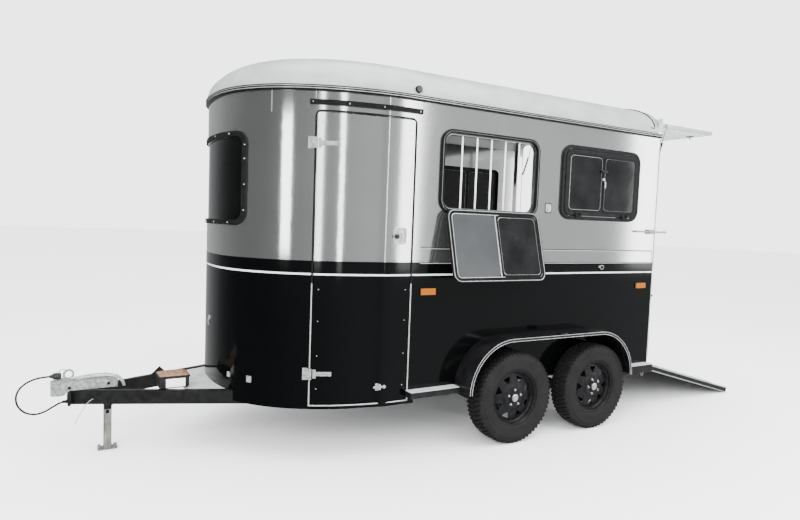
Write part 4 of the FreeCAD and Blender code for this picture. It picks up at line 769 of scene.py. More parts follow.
def roof():
    levels = [math.pi / 2 * (step / 22) ** 0.9 for step in range(23)]
    outer = [roof_ring(angle, 0.0, 0.2748) for angle in levels]
    inner = [roof_ring(angle, 0.020, 0.255) for angle in levels]
    count, total = len(outer[0]), len(levels)
    verts = [Vector(point) for ring in outer + inner for point in ring]
    faces = []
    for row in range(total - 1):
        for col in range(count - 1):
            a, b = row * count + col, (row + 1) * count + col
            faces.append([a, a + 1, b + 1, b])
            a, b = a + total * count, b + total * count
            faces.append([a, b, b + 1, a + 1])
        for col in (0, count - 1):
            a, b = row * count + col, (row + 1) * count + col
            faces.append([a, b, b + total * count, a + total * count])
    for col in range(count - 1):
        faces.append([col, col + 1, col + 1 + total * count, col + total * count])
    made = bmesh.new()
    added = [made.verts.new(vert) for vert in verts]
    for face in faces:
        made.faces.new([added[index] for index in face])
    bmesh.ops.remove_doubles(made, verts=made.verts[:], dist=0.0004)
    piece("roof_skin", "body", "roof_shell", "roof_skin", taken(made), sharp=50, replaces=("roof",))

    def crown(y, low=14, out=0.003):
        line = []
        for step in range(61):
            angle = math.radians(low + (180 - 2 * low) * step / 60)
            across = math.cos(angle)
            x = (HALF + 0.012 + out) * math.copysign(math.sqrt(abs(across)), across)
            line.append((x, y, WALL_TOP + (0.2750 + out) * math.sin(angle)))
        return line

    y = REAR - 0.092
    parts = [tube(crown(y), 0.0050, 10)]
    for sign in (1, -1):
        x, _, z = crown(y)[0]
        x *= sign
        hook = [(x, y + 0.002, z), (x + sign * 0.002, y - 0.004, z - 0.022),
                (x + sign * 0.004, y - 0.018, z - 0.034)]
        parts.append(tube(hook, 0.0050, 10))
        eye = oval(x + sign * 0.004, y - 0.036, z - 0.040, 0.018, 0.015, 20)
        parts.append(tube(eye, 0.0045, 8, closed=True))
    piece("roof_seal", "body", "window_rubber", "rubber_black", *parts)


drip_rail()
roof()


# ---------------------------------------------------------------- windows
PIVOT = (0.969, 1.723)       # x and z of the sashes' hinges
FRONT_Y, REAR_Y = -0.616 + MIDDLE_Y, 0.523 + MIDDLE_Y
SASH_MIDDLE = 0.2645         # height of a sash's middle over its hinge
SLIDER_Y, FIXED_Y = 0.1935, -0.1965


def round_window(profile, y):
    """A line round a fixed window frame."""
    return surround(0.895, 0.585, 0.095, profile, (y, 1.9875))


def window_trim():
    """Bright and rubber lines round the fixed frames, and the cut edge of the wall inside them."""
    gasket = [(-0.004, HALF), (-0.004, HALF + 0.004), (0.001, HALF + 0.0095), (0.005, HALF + 0.0080),
              (0.005, HALF)]
    lip = [(0.0100, HALF + 0.0175), (0.0115, HALF + 0.0198), (0.0130, HALF + 0.0175), (0.0130, HALF + 0.010),
           (0.0100, HALF + 0.010)]
    reveal = [(0.0270, HALF - 0.022), (0.0270, HALF - 0.002), (0.0350, HALF - 0.002), (0.0350, HALF - 0.022)]
    for name, y, look in (("front", FRONT_Y, "bar_white"), ("rear", REAR_Y, "frame_black")):
        both_sides(f"{name}_window_gasket", "body", "window_rubber", "rubber_black", round_window(gasket, y))
        both_sides(f"{name}_window_reveal", "body", "window_frame", look, round_window(reveal, y))
    both_sides("front_window_trim", "body", "window_frame", "bright_trim", round_window(lip, FRONT_Y))


def sash_face(hand, name, place, out, label):
    """Lines, panes and slider on one face of a sash; out is 1 for its outer face, -1 for its inner."""
    front = name == "front"
    face = -0.008 if out > 0 else -0.024

    def level(height):
        return face + out * height

    def ridge(inset, shoulder):
        """Section of a raised line, 4 mm wide."""
        return [(inset, level(-0.001)), (inset, level(shoulder)), (inset + 0.0020, level(0.0030)),
                (inset + 0.0040, level(shoulder)), (inset + 0.0040, level(-0.001))]

    def part(kind, slot, look, *parts):
        piece(f"{hand}_{name}_sash_{label}_{kind}", f"{hand}_{name}_window", slot, look, *parts, matrix=place)

    if front:
        part("lines", "window_sash", "bright_trim",
             *[surround(0.833, 0.523, 0.064, ridge(*line), (0, SASH_MIDDLE))
               for line in ((0.0065, 0.0018), (0.0320, 0.0022))])
    low, high = sorted((level(-0.004), level(0.0008)))
    part("pane", "dark_glass", "grey_glass" if front and out < 0 else "pane_dark",
         prism(rounded(0.375, 0.450, 0.034, (FIXED_Y, SASH_MIDDLE)), low, high))
    part("slider_pane", "dark_glass", "pane_dark",
         prism(rounded(0.362, 0.440, 0.036, (SLIDER_Y, SASH_MIDDLE)), low, high + 0.0002))
    slide = [(0.0, level(-0.002)), (0.0, level(0.0030)), (0.004, level(0.0042)), (0.015, level(0.0042)),
             (0.019, level(0.0025)), (0.019, level(-0.002))]
    part("slider", "window_sash", "frame_black",
         surround(0.386, 0.464, 0.046, slide, (SLIDER_Y, SASH_MIDDLE)))
    bead = [(0.0, level(-0.002)), (0.0, level(0.0012)), (0.0035, level(0.0022)), (0.0035, level(-0.002))]
    lines = [surround(0.352, 0.430, 0.034, bead, (SLIDER_Y, SASH_MIDDLE))]
    if front:
        low, high = sorted((level(-0.001), level(0.0030)))
        lines.append(brick((low, -0.0085, SASH_MIDDLE - 0.225), (high, 0.0005, SASH_MIDDLE + 0.225), 0.001))
    else:
        lines.append(surround(0.355, 0.432, 0.034, bead, (FIXED_Y, SASH_MIDDLE)))
    part("bead", "window_sash", "bright_trim" if front else "pane_bead", *lines)


def sash_fittings(hand, name, place):
    """Handle and lock between the panes."""
    z = SASH_MIDDLE
    handle = [lathe(stud(0.016, 0.013, -0.009, -0.002, 0.002), (0, 0.0, z + 0.105), "X", 24),
              brick((0.000, -0.034, z + 0.096), (0.013, 0.030, z + 0.114), 0.005, 3),
              brick((-0.003, -0.008, z + 0.060), (0.006, 0.008, z + 0.105), 0.003)]
    piece(f"{hand}_{name}_sash_handle", f"{hand}_{name}_window", "window_sash", "knob_black", *handle,
          matrix=place)
    lock = [lathe(stud(0.0115, 0.009, -0.009, 0.004, 0.006), (0, -0.002, z + 0.042), "X", 20),
            brick((0.004, -0.004, z + 0.036), (0.0065, 0.000, z + 0.047), 0.0008),
            brick((0.004, 0.006, z - 0.028), (0.0062, 0.020, z + 0.024), 0.001),
            tube(oval(0.005, 0.006, z + 0.030, 0.008, 0.010, 16), 0.0010, 8, closed=True)]
    piece(f"{hand}_{name}_sash_lock", f"{hand}_{name}_window", "zinc", "bright_trim", *lock, matrix=place)


def sashes():
    for name, y in (("front", FRONT_Y), ("rear", REAR_Y)):
        for hand in ("left", "right"):
            opened = 165 if (hand, name) == ("left", "front") else 0
            swing = Matrix.Rotation(math.radians(opened), 4, "Y")
            place = Matrix.Translation((PIVOT[0], y, PIVOT[1])) @ swing
            if hand == "right":
                place = MIRROR @ place
            for out, label in ((1, "outer"), (-1, "inner")):
                sash_face(hand, name, place, out, label)
            sash_fittings(hand, name, place)


def nose_window_clips():
    """Small joints along the nose window's rubber."""
    clips = [(sign * 0.486, z) for z in (1.66, 1.83, 2.00, 2.09) for sign in (1, -1)]
    clips += [(sign * x, z) for sign in (1, -1) for x in (0.12, 0.34) for z in (1.575, 2.170)]
    parts = []
    for x, z in clips:
        y = NOSE_START - (NOSE_DEPTH + 0.012) * (1 - (abs(x) / (HALF + 0.012)) ** 2.5) ** (1 / 1.95)
        parts.append(brick((x - 0.007, y - 0.0025, z - 0.004), (x + 0.007, y + 0.004, z + 0.004), 0.001))
    piece("nose_window_clips", "body", "window_frame", "bright_trim", *parts)


window_trim()
sashes()
nose_window_clips()


# ---------------------------------------------------------------- groom door
DOOR_FRONT, DOOR_REAR = -1.930 + MIDDLE_Y, -1.272 + MIDDLE_Y
LOCK_Z = 1.526


def skin_line(points, out):
    """Points of the left skin, grown by out, at the given y and z."""
    return [(skin_x(y, out), y, z) for y, z in points]


def door_edges():
    """Rubber round the door's upper part, bright lines round its lower part."""
    front, rear, low, high, bend = DOOR_FRONT - 0.005, DOOR_REAR + 0.005, 0.385, 2.316, 0.035
    upper = [(front, 1.20 + 0.05 * step) for step in range(22)]
    upper += [(front + bend - bend * math.cos(t), high - bend + bend * math.sin(t)) for t in quarter(6)]
    upper += [(front + bend + (rear - front - 2 * bend) * step / 14, high) for step in range(1, 14)]
    upper += [(rear - bend + bend * math.sin(t), high - bend + bend * math.cos(t)) for t in quarter(6)]
    upper += [(rear, 2.25 - 0.05 * step) for step in range(22)]
    piece("door_gasket", "body", "window_rubber", "rubber_black", tube(skin_line(upper, 0.001), 0.0055, 10))
    lines = [skin_line([(y, low + 0.082 * step) for step in range(11)], 0.001) for y in (front, rear)]
    lines.append(skin_line([(front + (rear - front) * step / 16, low + 0.002) for step in range(17)], 0.000))
    piece("door_edge_trim", "body", "rail_trim", "bright_trim", *[tube(line, 0.0045, 10) for line in lines])


def door_hinge_pieces():
    plates, straps = [], []
    for z in (0.600, 2.110):
        bolts = [lathe(screw_head(0.0055, 0.0045, 0.003, 0.0065, 0.007), (0, -0.006, dz), "X", 12)
                 for dz in (-0.026, 0.026)]
        plates += placed(on_skin(DOOR_FRONT - 0.030, z),
                         brick((0, -0.018, -0.040), (0.004, 0.016, 0.040), 0.0015), *bolts)
        bolts = [lathe(screw_head(0.0060, 0.0050, 0.004, 0.0078, 0.0084), (0, dy, 0), "X", 12)
                 for dy in (-0.020, 0.012, 0.044)]
        straps += placed(on_skin(DOOR_FRONT + 0.070, z),
                         brick((0.0005, -0.060, -0.014), (0.0050, 0.062, 0.014), 0.002, 2),
                         brick((0.001, -0.062, -0.030), (0.0065, -0.040, 0.030), 0.002, 2), *bolts)
    piece("door_hinge_plates", "body", "zinc", "zinc_plate", *plates)
    piece("door_hinge_straps", "groom_door_leaf", "zinc", "zinc_plate", *straps)


def door_lock():
    lock = on_skin(-1.367 + MIDDLE_Y, LOCK_Z)
    bezel = [(0.0, 0.0), (0.0, 0.004), (0.005, 0.0075), (0.012, 0.0060), (0.014, 0.0)]
    piece("door_lock_plate", "groom_door_leaf", "zinc", "bright_trim", *placed(
        lock, surround(0.098, 0.116, 0.022, bezel), prism(rounded(0.076, 0.094, 0.012), 0.0002, 0.0024),
        brick((0.002, -0.018, 0.014), (0.009, 0.030, 0.034), 0.004, 3),
        brick((0.002, 0.012, -0.036), (0.008, 0.030, 0.030), 0.004, 3),
        brick((0.002, -0.012, -0.038), (0.006, 0.026, -0.026), 0.003, 2)))
    knob = [(0.0001, 0.0), (0.013, 0.0), (0.013, 0.012), (0.0165, 0.016), (0.0165, 0.024), (0.014, 0.027),
            (0.0001, 0.027)]
    piece("door_lock_knob", "groom_door_leaf", "zinc", "knob_black", *placed(
        lock, lathe(knob, (0.003, -0.030, -0.004), "X", 24),
        brick((0.010, -0.040, -0.014), (0.032, -0.024, 0.006), 0.004, 3)))
    piece("door_catch", "groom_door_leaf", "zinc", "zinc_plate", *placed(
        on_skin(-1.480 + MIDDLE_Y, 0.500),
        brick((0.0005, -0.030, -0.024), (0.004, 0.030, 0.024), 0.0015),
        brick((0.004, -0.046, -0.007), (0.012, 0.046, 0.007), 0.003),
        brick((0.004, -0.010, -0.019), (0.014, 0.008, 0.019), 0.003),
        brick((0.004, 0.026, -0.012), (0.011, 0.040, 0.012), 0.002)))


def door_screws():
    head = lathe(screw_head(0.0042, 0.0034, 0.0, 0.0018, 0.0022), (0, 0, 0), "X", 10)
    screws = [moved(head, on_skin(y, z)) for z in (0.50, 0.72, 0.95, 1.16, 1.45, 1.62, 1.80, 1.98, 2.24)
              for y in (DOOR_FRONT + 0.036, DOOR_REAR - 0.038)
              if abs(z - LOCK_Z) >= 0.09 or y <= -1.2]
    piece("door_screws", "groom_door_leaf", "zinc", "zinc_plate", *screws)
    head = lathe(screw_head(0.0062, 0.0050, 0.0135, 0.0168, 0.0174), (0, 0, 0), "X", 14)
    piece("door_gutter_screws", "body", "zinc", "chrome",
          *[moved(head, on_skin(y, 2.368)) for y in (-1.545, -1.330, -1.105, -0.840)])


door_edges()
door_hinge_pieces()
door_lock()
door_screws()


# ---------------------------------------------------------------- body trim
def panel_strip(y_low, y_high, z_low, z_high, out=0.0016):
    return brick((HALF - 0.0005, y_low, z_low), (HALF + out, y_high, z_high), 0.0006, 1)


def arch_line(x, inset):
    """Line over the two wheels, at x, lying inset inside the fender's outer face."""
    front, rear, low, top, radius = -0.872 + MIDDLE_Y, 0.800 + MIDDLE_Y, 0.420, 0.805, 0.385
    size = radius - inset
    line = [(front + inset, low + 0.001)]
    line += [(front + radius - size * math.cos(t), low + size * math.sin(t)) for t in quarter(24, 1)]
    line += [(front + radius + (rear - front - 2 * radius) * step / 8, top - inset) for step in range(1, 8)]
    line += [(rear - radius + size * math.sin(t), low + size * math.cos(t))
             for t in (math.pi / 2 * step / 24 for step in range(24))]
    line.append((rear - inset, low + 0.001))
    return [(x, y, z) for y, z in line]


def body_trim():
    start, end = NOSE_START + 0.100, REAR - 0.022
    # Dark strips along the pressed panel's top edge and rear end: painted shade standing in for the shadow
    # its edge casts.
    dark = [panel_strip(start, end, 1.4450, 1.4510), panel_strip(end - 0.0035, end, 1.3600, 1.4480)]
    both_sides("panel_shadow_line", "body", "window_rubber", "frame_black", *dark)
    light = [panel_strip(start, end, 1.3380, 1.3425), panel_strip(start, end, 1.4400, 1.4450, 0.0012)]
    both_sides("panel_bright_line", "body", "rail_trim", "bright_trim", *light)
    edge = [brick((HALF - 0.002, REAR - 0.006, 0.46), (HALF + 0.0035, REAR + 0.0025, 2.43), 0.0015, 2)]
    both_sides("rear_edge_trim", "body", "rail_trim", "bright_trim", *edge)
    seam_places = (-2.176 + MIDDLE_Y, 2.30), (-1.939 + MIDDLE_Y, 2.385), (-1.215 + MIDDLE_Y, 2.385)
    seams = [moved(brick((-0.0005, -0.0022, low), (0.0012, 0.0022, 2.439), 0.0005, 1), on_skin(y, 0.0))
             for y, low in seam_places]
    both_sides("rail_seams", "body", "rail_trim", "bright_trim", *seams)


def lamp_seats():
    lamp = [brick((HALF, y - 0.062, 1.1175), (HALF + 0.0045, y + 0.062, 1.1675), 0.002, 2)
            for y in (-0.720, 1.486)]
    both_sides("side_lamp_base", "body", "window_rubber", "rubber_black", *lamp)
    ring = lathe([(0.0205, -0.016), (0.0245, -0.016), (0.0245, 0.0040), (0.0215, 0.0075), (0.0190, 0.0060),
                  (0.0190, -0.016)], (HALF + 0.022, -1.270 + MIDDLE_Y, 2.512), "X", 28)
    both_sides("roof_lamp_bezel", "body", "window_rubber", "rubber_black", ring)


def side_fittings():
    """Hook behind the front window, tie ring and rear knob."""
    place = on_skin(-0.047 + MIDDLE_Y, 1.772)
    bezel = [(0.0, 0.0), (0.0, 0.004), (0.004, 0.0070), (0.010, 0.0055), (0.011, 0.0)]
    parts = [surround(0.052, 0.066, 0.012, bezel), prism(rounded(0.038, 0.052, 0.006), 0.0002, 0.002),
             brick((0.001, -0.006, -0.020), (0.008, 0.010, 0.014), 0.003, 2),
             brick((0.001, -0.016, 0.006), (0.006, 0.014, 0.018), 0.003, 2)]
    both_sides("side_hook_base", "body", "window_rubber", "rubber_black",
               moved(prism(rounded(0.066, 0.082, 0.016), 0.0, 0.0014, edge=0.0004), place))
    both_sides("side_hook_plate", "body", "zinc", "bright_trim", *placed(place, *parts))
    y = 0.58 + MIDDLE_Y
    ring = oval(HALF + 0.010, y, 1.305, 0.020, 0.016, 20)
    eye = [tube(ring, 0.0030, 10, closed=True),
           brick((HALF, y - 0.030, 1.300), (HALF + 0.006, y - 0.008, 1.318), 0.002)]
    both_sides("tie_ring", "body", "zinc", "zinc_plate", *eye)
    knob = [(0.0001, 0.0), (0.007, 0.0), (0.007, 0.020), (0.011, 0.024), (0.011, 0.032), (0.0001, 0.034)]
    both_sides("rear_knob", "body", "window_rubber", "knob_black", lathe(knob, (0.925, REAR, 1.043), "Y", 20))


def fender_and_step():
    skin = [arch_line(x, inset) for x, inset in
            ((0.9410, 0.0), (1.1330, 0.0), (1.1365, 0.0012), (1.1378, 0.0045), (1.1378, 0.0235),
             (1.1340, 0.0245), (1.1335, 0.0050), (0.9410, 0.0045))]
    both_sides("fender_sheet", "body", "fender_black", "fender_gloss",
               skinned([[line[step] for line in skin] for step in range(len(skin[0]))]),
               replaces=("{hand}_fender",))
    edges = [tube(arch_line(1.1380, inset), 0.0019, 8) for inset in (0.0045, 0.0230)]
    both_sides("fender_edge_lines", "body", "rail_trim", "bright_trim", *edges)
    y = 0.006 + MIDDLE_Y
    both_sides("fender_clip", "body", "fender_black", "fender_gloss",
               brick((1.085, y - 0.035, 0.8045), (1.139, y + 0.035, 0.816), 0.004, 2))
    tread = [brick((HALF + 0.001, -1.280 + MIDDLE_Y, 0.4555), (1.0205, -0.876 + MIDDLE_Y, 0.4590), 0.0012, 1),
             brick((HALF + 0.001, 0.806 + MIDDLE_Y, 0.4455), (1.0205, 1.205 + MIDDLE_Y, 0.4490), 0.0012, 1)]
    both_sides("step_tread", "body", "plate_grey", "grey_sheet", *tread)


def nose_pieces():
    fittings = placed(on_skin(-2.261 + MIDDLE_Y, 0.532),
                      brick((0.0, -0.020, -0.022), (0.004, 0.020, 0.022), 0.0015),
                      brick((0.003, -0.012, -0.012), (0.013, 0.012, 0.010), 0.004, 2))
    fittings += placed(on_skin(-2.353 + MIDDLE_Y, 0.535),
                       brick((0.0, -0.016, -0.018), (0.008, 0.016, 0.018), 0.003, 2))
    both_sides("nose_fittings", "body", "zinc", "zinc_plate", *fittings)
    hook = [(0.0, NOSE_TIP - out, z) for out, z in
            ((0.0060, 0.875), (0.0095, 0.855), (0.0100, 0.835), (0.0050, 0.820))]
    piece("nose_hook", "body", "zinc", "bright_trim", tube(hook, 0.0035, 10),
          brick((-0.018, NOSE_TIP - 0.0050, 0.860), (0.018, NOSE_TIP + 0.001, 0.890), 0.002))


body_trim()
lamp_seats()
side_fittings()
fender_and_step()
nose_pieces()


# ---------------------------------------------------------------- ramp, canopy and rear
LIFT = math.asin(0.375 / math.hypot(1.355, 0.010)) - math.atan(0.010 / 1.355)
RAMP = Matrix.Translation((0, 1.285 + MIDDLE_Y, 0.375)) @ Matrix.Rotation(-LIFT, 4, "X")
CANOPY = Matrix.Translation((0, 1.262 + MIDDLE_Y, 2.580))


def ramp_pieces():
    top = 0.040
    piece("ramp_mat", "ramp_leaf", "ramp_board", "ramp_grip",
          brick((-0.838, 0.052, top - 0.0005), (0.838, 1.322, top + 0.0030), 0.0012, 1), matrix=RAMP)
    cleats = [brick((-0.800, 0.150 + 0.145 * row, top + 0.0020), (0.800, 0.170 + 0.145 * row, top + 0.0105),
                    0.003, 2) for row in range(8)]
    piece("ramp_cleats", "ramp_leaf", "ramp_board", "ramp_grip", *cleats, matrix=RAMP)
    edges = [brick((x - 0.0155, 0.022, top - 0.008), (x + 0.0155, 1.350, top + 0.0035), 0.002, 2)
             for x in (-0.8507865, 0.8507865)]
    edges += [brick((x - 0.004, 0.022, -0.0105), (x + 0.0015, 1.350, -0.004), 0.001, 1)
              for x in (-0.866, 0.866)]
    edges.append(brick((-0.860, 0.022, top - 0.006), (0.860, 0.050, top + 0.0035), 0.002, 2))
    piece("ramp_edge_rails", "ramp_leaf", "rail_trim", "bright_trim", *edges, matrix=RAMP)
    end = [brick((-0.866, 1.322, -0.006), (0.866, 1.3548, top + 0.0035), 0.006, 3)]
    piece("ramp_end_block", "ramp_leaf", "ramp_board", "rubber_black", *end, matrix=RAMP)


def canopy_pieces():
    edges = [brick((x - 0.006, 0.018, -0.0215), (x + 0.006, 0.8045, 0.0105), 0.002, 2)
             for x in (-0.864268, 0.864268)]
    edges.append(brick((-0.866, 0.796, -0.0215), (0.866, 0.8055, 0.0105), 0.002, 2))
    piece("canopy_edge", "canopy_leaf", "canopy_shell", "roof_skin", *edges, matrix=CANOPY)
    lining = [brick((-0.820, 0.060, -0.0240), (0.820, 0.765, -0.0195), 0.002, 2)]
    piece("canopy_lining", "canopy_leaf", "canopy_shell", "canopy_shell", *lining, matrix=CANOPY)
    catch = []
    for side in (-0.70, 0.70):
        catch.append(brick((side - 0.030, 0.690, -0.0300), (side + 0.030, 0.730, -0.0225), 0.003, 2))
        catch.append(tube([(side, 0.700, -0.026), (side, 0.705, -0.044), (side, 0.722, -0.050),
                           (side, 0.738, -0.042)], 0.0045, 10))
    piece("canopy_catches", "canopy_leaf", "zinc", "knob_black", *catch, matrix=CANOPY)


def rear_pieces():
    y = REAR
    inside = HALF - 0.065
    line = [(inside + 0.004, 0.47 + (2.425 - 0.47) * step / 30) for step in range(31)]
    line += [(inside - 0.056 + 0.060 * math.cos(t), 2.485 + 0.060 * math.sin(t)) for t in quarter(8, 1)]
    line += [(-x, z) for x, z in line[::-1]]
    piece("rear_opening_seal", "body", "window_rubber", "rubber_black",
          tube([(x, y + 0.003, z) for x, z in line], 0.006, 10))
    both_sides("tail_lamp_base", "body", "window_rubber", "rubber_black",
               brick((0.880, y, 0.494), (0.936, y + 0.006, 0.686), 0.003, 2))
    springs = []
    for x in (0.62, 0.70):
        coil = []
        for step in range(8 * 12 + 1):
            turn = 2 * math.pi * step / 12
            coil.append((x - 0.035 + 0.070 * step / 96, y + 0.018 + 0.011 * math.cos(turn),
                         0.338 + 0.011 * math.sin(turn)))
        springs.append(tube(coil, 0.0022, 6))
    rings = [tube(oval(0.905, y - 0.010, 0.334, 0.016, 0.016, 18), 0.003, 8, closed=True)]
    both_sides("sill_rings", "body", "zinc", "zinc_plate", *springs, *rings)
    both_sides("sill_plate", "body", "rail_trim", "bright_trim",
               brick((0.02, y - 0.002, 0.448), (HALF, y + 0.0035, 0.4585), 0.001, 1))
    bolt = [(0.0001, 0.0), (0.0095, 0.0), (0.0095, 0.006), (0.0001, 0.008)]
    bolts = [lathe(bolt, (HALF + 0.024, 1.130 + MIDDLE_Y + on, 1.615), "X", 6) for on in (0.014, 0.056)]
    loop = tube(oval(HALF + 0.016, 1.345 + MIDDLE_Y, 1.622, 0.018, 0.012, 18), 0.0032, 8, closed=True)
    both_sides("latch_details", "body", "zinc", "zinc_plate", *bolts, loop)


ramp_pieces()
canopy_pieces()
rear_pieces()


# ---------------------------------------------------------------- front end
def coupling_pieces():
    outline = [(-3.004, 0.408), (-2.985, 0.4025), (-2.940, 0.4025), (-2.900, 0.4330), (-2.640, 0.4335),
               (-2.622, 0.4400), (-2.613, 0.4550), (-2.613, 0.4720), (-2.622, 0.4860), (-2.640, 0.4935),
               (-2.700, 0.4985), (-2.860, 0.5015), (-2.930, 0.4980), (-2.970, 0.4800), (-2.995, 0.4500),
               (-3.006, 0.4250)]
    shell = [prism(outline, 0.0330, 0.0405, edge=0.002), prism(outline, -0.0405, -0.0330, edge=0.002)]
    deck = [(y, max(z - 0.006, 0.434)) for y, z in outline]
    shell.append(prism(deck, -0.0335, 0.0335, edge=0.003))
    head = [(0.0255, 0.402), (0.0425, 0.402), (0.0425, 0.455), (0.0400, 0.476), (0.0320, 0.490),
            (0.0001, 0.496), (0.0001, 0.445), (0.0255, 0.442)]
    shell.append(lathe(head, (0, -3.375 + MIDDLE_Y, 0), "Z", 40))
    shell.append(brick((-0.026, -2.900, 0.494), (0.026, -2.660, 0.5065), 0.005, 3))
    piece("coupling_shell", "body", "zinc", "zinc_plate", *shell, sharp=35)
    # Darker tubes along the top edges of the side plates: painted shade on the coupling's rounded edges.
    rings = [tube([(side * 0.0415, y, z) for y, z in outline[4:14]], 0.0030, 8) for side in (-1, 1)]
    piece("coupling_edge_shade", "body", "zinc", "pane_bead", *rings)
    bolts = [lathe(stud(0.0105, 0.0085, 0.0, 0.0065, 0.0085), (0.0405, y, z), "X", 6)
             for y, z in ((-2.900, 0.452), (-2.668, 0.462))]
    piece("coupling_bolts", "body", "zinc", "chassis_black", *bolts, *placed(MIRROR, *bolts))
    arc = [(0.033, -2.860, 0.503), (0.033, -2.760, 0.5145), (0.033, -2.690, 0.5150), (0.033, -2.640, 0.506),
           (0.032, -2.605, 0.488), (0.031, -2.585, 0.462), (0.030, -2.574, 0.436)]
    arcs = [tube([(side * x, y, z) for x, y, z in arc], 0.0050, 10) for side in (-1, 1)]
    piece("lever_arcs", "body", "zinc", "bright_trim", *arcs, sharp=60)
    catch = [tube([(-0.020, -2.966, 0.485), (-0.020, -2.972, 0.530), (-0.020, -2.950, 0.562),
                   (-0.020, -2.925, 0.566), (-0.020, -2.915, 0.552), (-0.020, -2.935, 0.520),
                   (-0.020, -2.945, 0.490)], 0.0032, 8)]
    piece("coupling_loop", "body", "zinc", "zinc_plate", *catch, sharp=60)


def drawbar_pieces():
    face = -3.320 + MIDDLE_Y
    rivet = screw_head(0.0050, 0.0035, 0.0, -0.0030, -0.0036)
    rivets = [lathe(rivet, (x, face, z), "Y", 12) for x in (-0.050, -0.018, 0.018) for z in (0.350, 0.410)]
    hole = lathe([(0.014, 0.0), (0.019, 0.0), (0.019, -0.004), (0.014, -0.004)], (0.0, face, 0.380), "Y", 24)
    piece("nose_rivets", "body", "zinc", "zinc_plate", *rivets, hole)
    wire = [(0.100, -2.584, 0.347), (0.096, -2.640, 0.372), (0.086, -2.700, 0.376), (0.072, -2.769, 0.371),
            (0.067, -2.800, 0.345), (0.063, -2.830, 0.290), (0.058, -2.858, 0.235), (0.054, -2.873, 0.206)]
    piece("hook_wire", "body", "zinc", "bright_trim", tube(wire, 0.0024, 8), sharp=60)


def battery_pieces():
    """Case, domed cover with its skirt, and blank label."""
    case = [brick((0.062, -2.374, 0.432), (0.228, -2.178, 0.515), 0.012, 3),
            brick((0.057, -2.379, 0.506), (0.233, -2.173, 0.518), 0.005, 3)]
    piece("battery_case", "body", "battery_plastic", "battery_black", *case, replaces=("battery_box",))
    rows, cols = 14, 14
    rings = []
    for row in range(rows + 1):
        v = row / rows * 2 - 1
        ring = []
        for col in range(cols + 1):
            u = col / cols * 2 - 1
            dome = (1 - u ** 4) * (1 - v ** 4)
            ring.append((0.145 + u * 0.082, -2.276 + v * 0.097, 0.5165 + 0.0165 * dome ** 0.8))
        rings.append(ring)
    verts = [Vector(point) for ring in rings for point in ring]
    wide = cols + 1
    faces = [[r * wide + c, r * wide + c + 1, (r + 1) * wide + c + 1, (r + 1) * wide + c]
             for r in range(rows) for c in range(cols)]
    border = list(range(wide))
    border += [r * wide + cols for r in range(1, rows + 1)]
    border += [rows * wide + c for c in range(cols - 1, -1, -1)]
    border += [r * wide for r in range(rows - 1, 0, -1)]
    base = len(verts)
    verts += [Vector((verts[index].x, verts[index].y, 0.5120)) for index in border]
    for step in range(len(border)):
        on = (step + 1) % len(border)
        faces.append([border[step], base + step, base + on, border[on]])
    faces.append([base + step for step in range(len(border))])
    piece("battery_cover", "body", "battery_plastic", "tan_lid", (verts, faces), sharp=50)
    piece("battery_label", "body", "battery_plastic", "white_label",
          brick((0.2275, -2.330, 0.442), (0.2295, -2.205, 0.500), 0.0008, 1))


def stand_pieces():
    y = -3.080 + MIDDLE_Y
    # Flat black plates on the leg's side and front stand in for its slot: painted shade of the opening, not a
    # part of their own.
    slot_shade_plates = [prism(rounded(0.022, 0.026, 0.005, (y - 0.002, 0.262)), 0.0235, 0.0252),
                  prism(rounded(0.022, 0.026, 0.005, (0.0, 0.262)), y - 0.0252, y - 0.0235, "Y")]
    piece("stand_slot_shade", "stand", "zinc", "chassis_black", *slot_shade_plates)
    ribs = [brick((0.0238, y - 0.0235, 0.012), (0.0262, y - 0.0195, 0.250), 0.001, 1),
            brick((0.0238, y + 0.0195, 0.012), (0.0262, y + 0.0235, 0.250), 0.001, 1)]
    rollers = [lathe([(0.004, -0.030), (0.011, -0.030), (0.011, 0.030), (0.004, 0.030)],
                     (0, at, 0.0125), "X", 20) for at in (y - 0.050, y + 0.050)]
    piece("stand_ribs", "stand", "zinc", "stand_steel", *ribs, *rollers)


coupling_pieces()
drawbar_pieces()
battery_pieces()
stand_pieces()


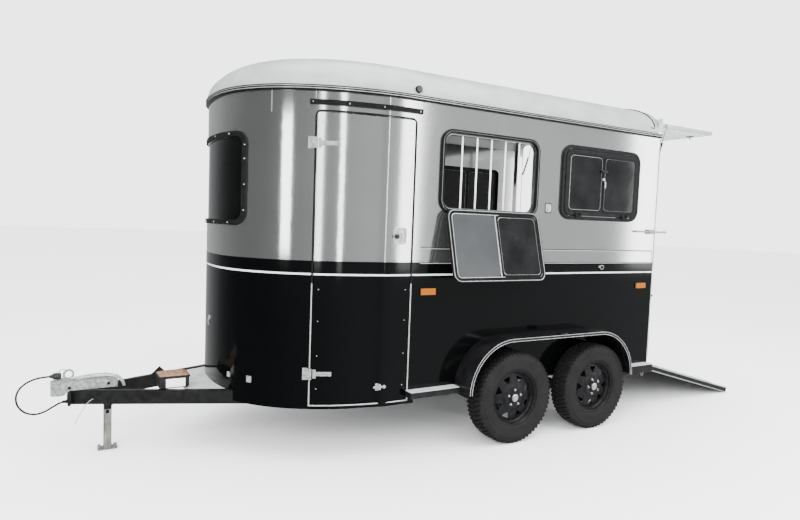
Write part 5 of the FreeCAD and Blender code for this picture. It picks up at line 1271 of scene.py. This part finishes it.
# ---------------------------------------------------------------- studio
def studio():
    made = Finish("studio_floor")
    made.colour(made.ramp(made.noise(0.4, 2), [(0.3, (0.93, 0.93, 0.925)), (0.7, (0.95, 0.95, 0.945))]))
    made.set(Roughness=0.65, Specular_IOR_Level=0.2)
    mesh = bpy.data.meshes.new("studio_floor")
    corners = [(-60, -60, 0), (60, -60, 0), (60, 60, 0), (-60, 60, 0)]
    mesh.from_pydata(corners, [], [[0, 1, 2, 3]])
    mesh.materials.append(made.material)
    floor = linked("studio_floor", mesh)
    floor.visible_glossy = False

    world = bpy.data.worlds.new("studio")
    world.use_nodes = True
    tree = world.node_tree
    tree.nodes["Background"].inputs["Color"].default_value = (0.97, 0.98, 1.0, 1.0)
    ray = tree.nodes.new("ShaderNodeLightPath")
    where = tree.nodes.new("ShaderNodeTexCoord")
    split = tree.nodes.new("ShaderNodeSeparateXYZ")
    # The room that gloss mirrors: dark in front, light behind.
    room = tree.nodes.new("ShaderNodeMapRange")
    level = tree.nodes.new("ShaderNodeMix")
    for socket, value in (("From Min", -1.0), ("From Max", 0.5), ("To Min", 0.06), ("To Max", 0.95)):
        room.inputs[socket].default_value = value
    tree.links.new(where.outputs["Generated"], split.inputs[0])
    tree.links.new(split.outputs["Y"], room.inputs["Value"])
    level.inputs[2].default_value = 3.7
    tree.links.new(ray.outputs["Is Glossy Ray"], level.inputs[0])
    tree.links.new(room.outputs["Result"], level.inputs[3])
    tree.links.new(level.outputs[0], tree.nodes["Background"].inputs["Strength"])
    bpy.context.scene.world = world

    def light(name, place, aim, size, energy, mirrored=True):
        data = bpy.data.lights.new(name, "AREA")
        data.shape = "RECTANGLE"
        data.size, data.size_y = size
        data.energy = energy
        lamp = linked(name, data)
        lamp.location = place
        lamp.rotation_mode = "QUATERNION"
        lamp.rotation_quaternion = (Vector(aim) - Vector(place)).to_track_quat("-Z", "Y")
        lamp.visible_glossy = mirrored

    light("overhead", (1.5, 0.5, 7.5), (0, 0, 0), (6, 9), 900)
    light("key", (6.5, -7.0, 5.0), (0.5, -0.8, 1.2), (3.0, 3.0), 700, mirrored=False)
    light("fill", (7.5, 5.5, 3.6), (0.9, 0.6, 1.6), (2.0, 3.0), 350, mirrored=False)
    for count, (x, y, wide, energy) in enumerate((
            (6.0, -9.0, 1.5, 150), (5.6, -4.1, 0.30, 22), (5.6, -2.35, 0.42, 34), (5.6, -0.2, 0.22, 15),
            (5.6, 1.75, 0.42, 40), (5.6, 7.4, 0.60, 60))):
        light(f"strip_{count}", (x, y, 2.35), (0.9, y * 0.3, 2.1), (wide, 3.0), energy)


studio()
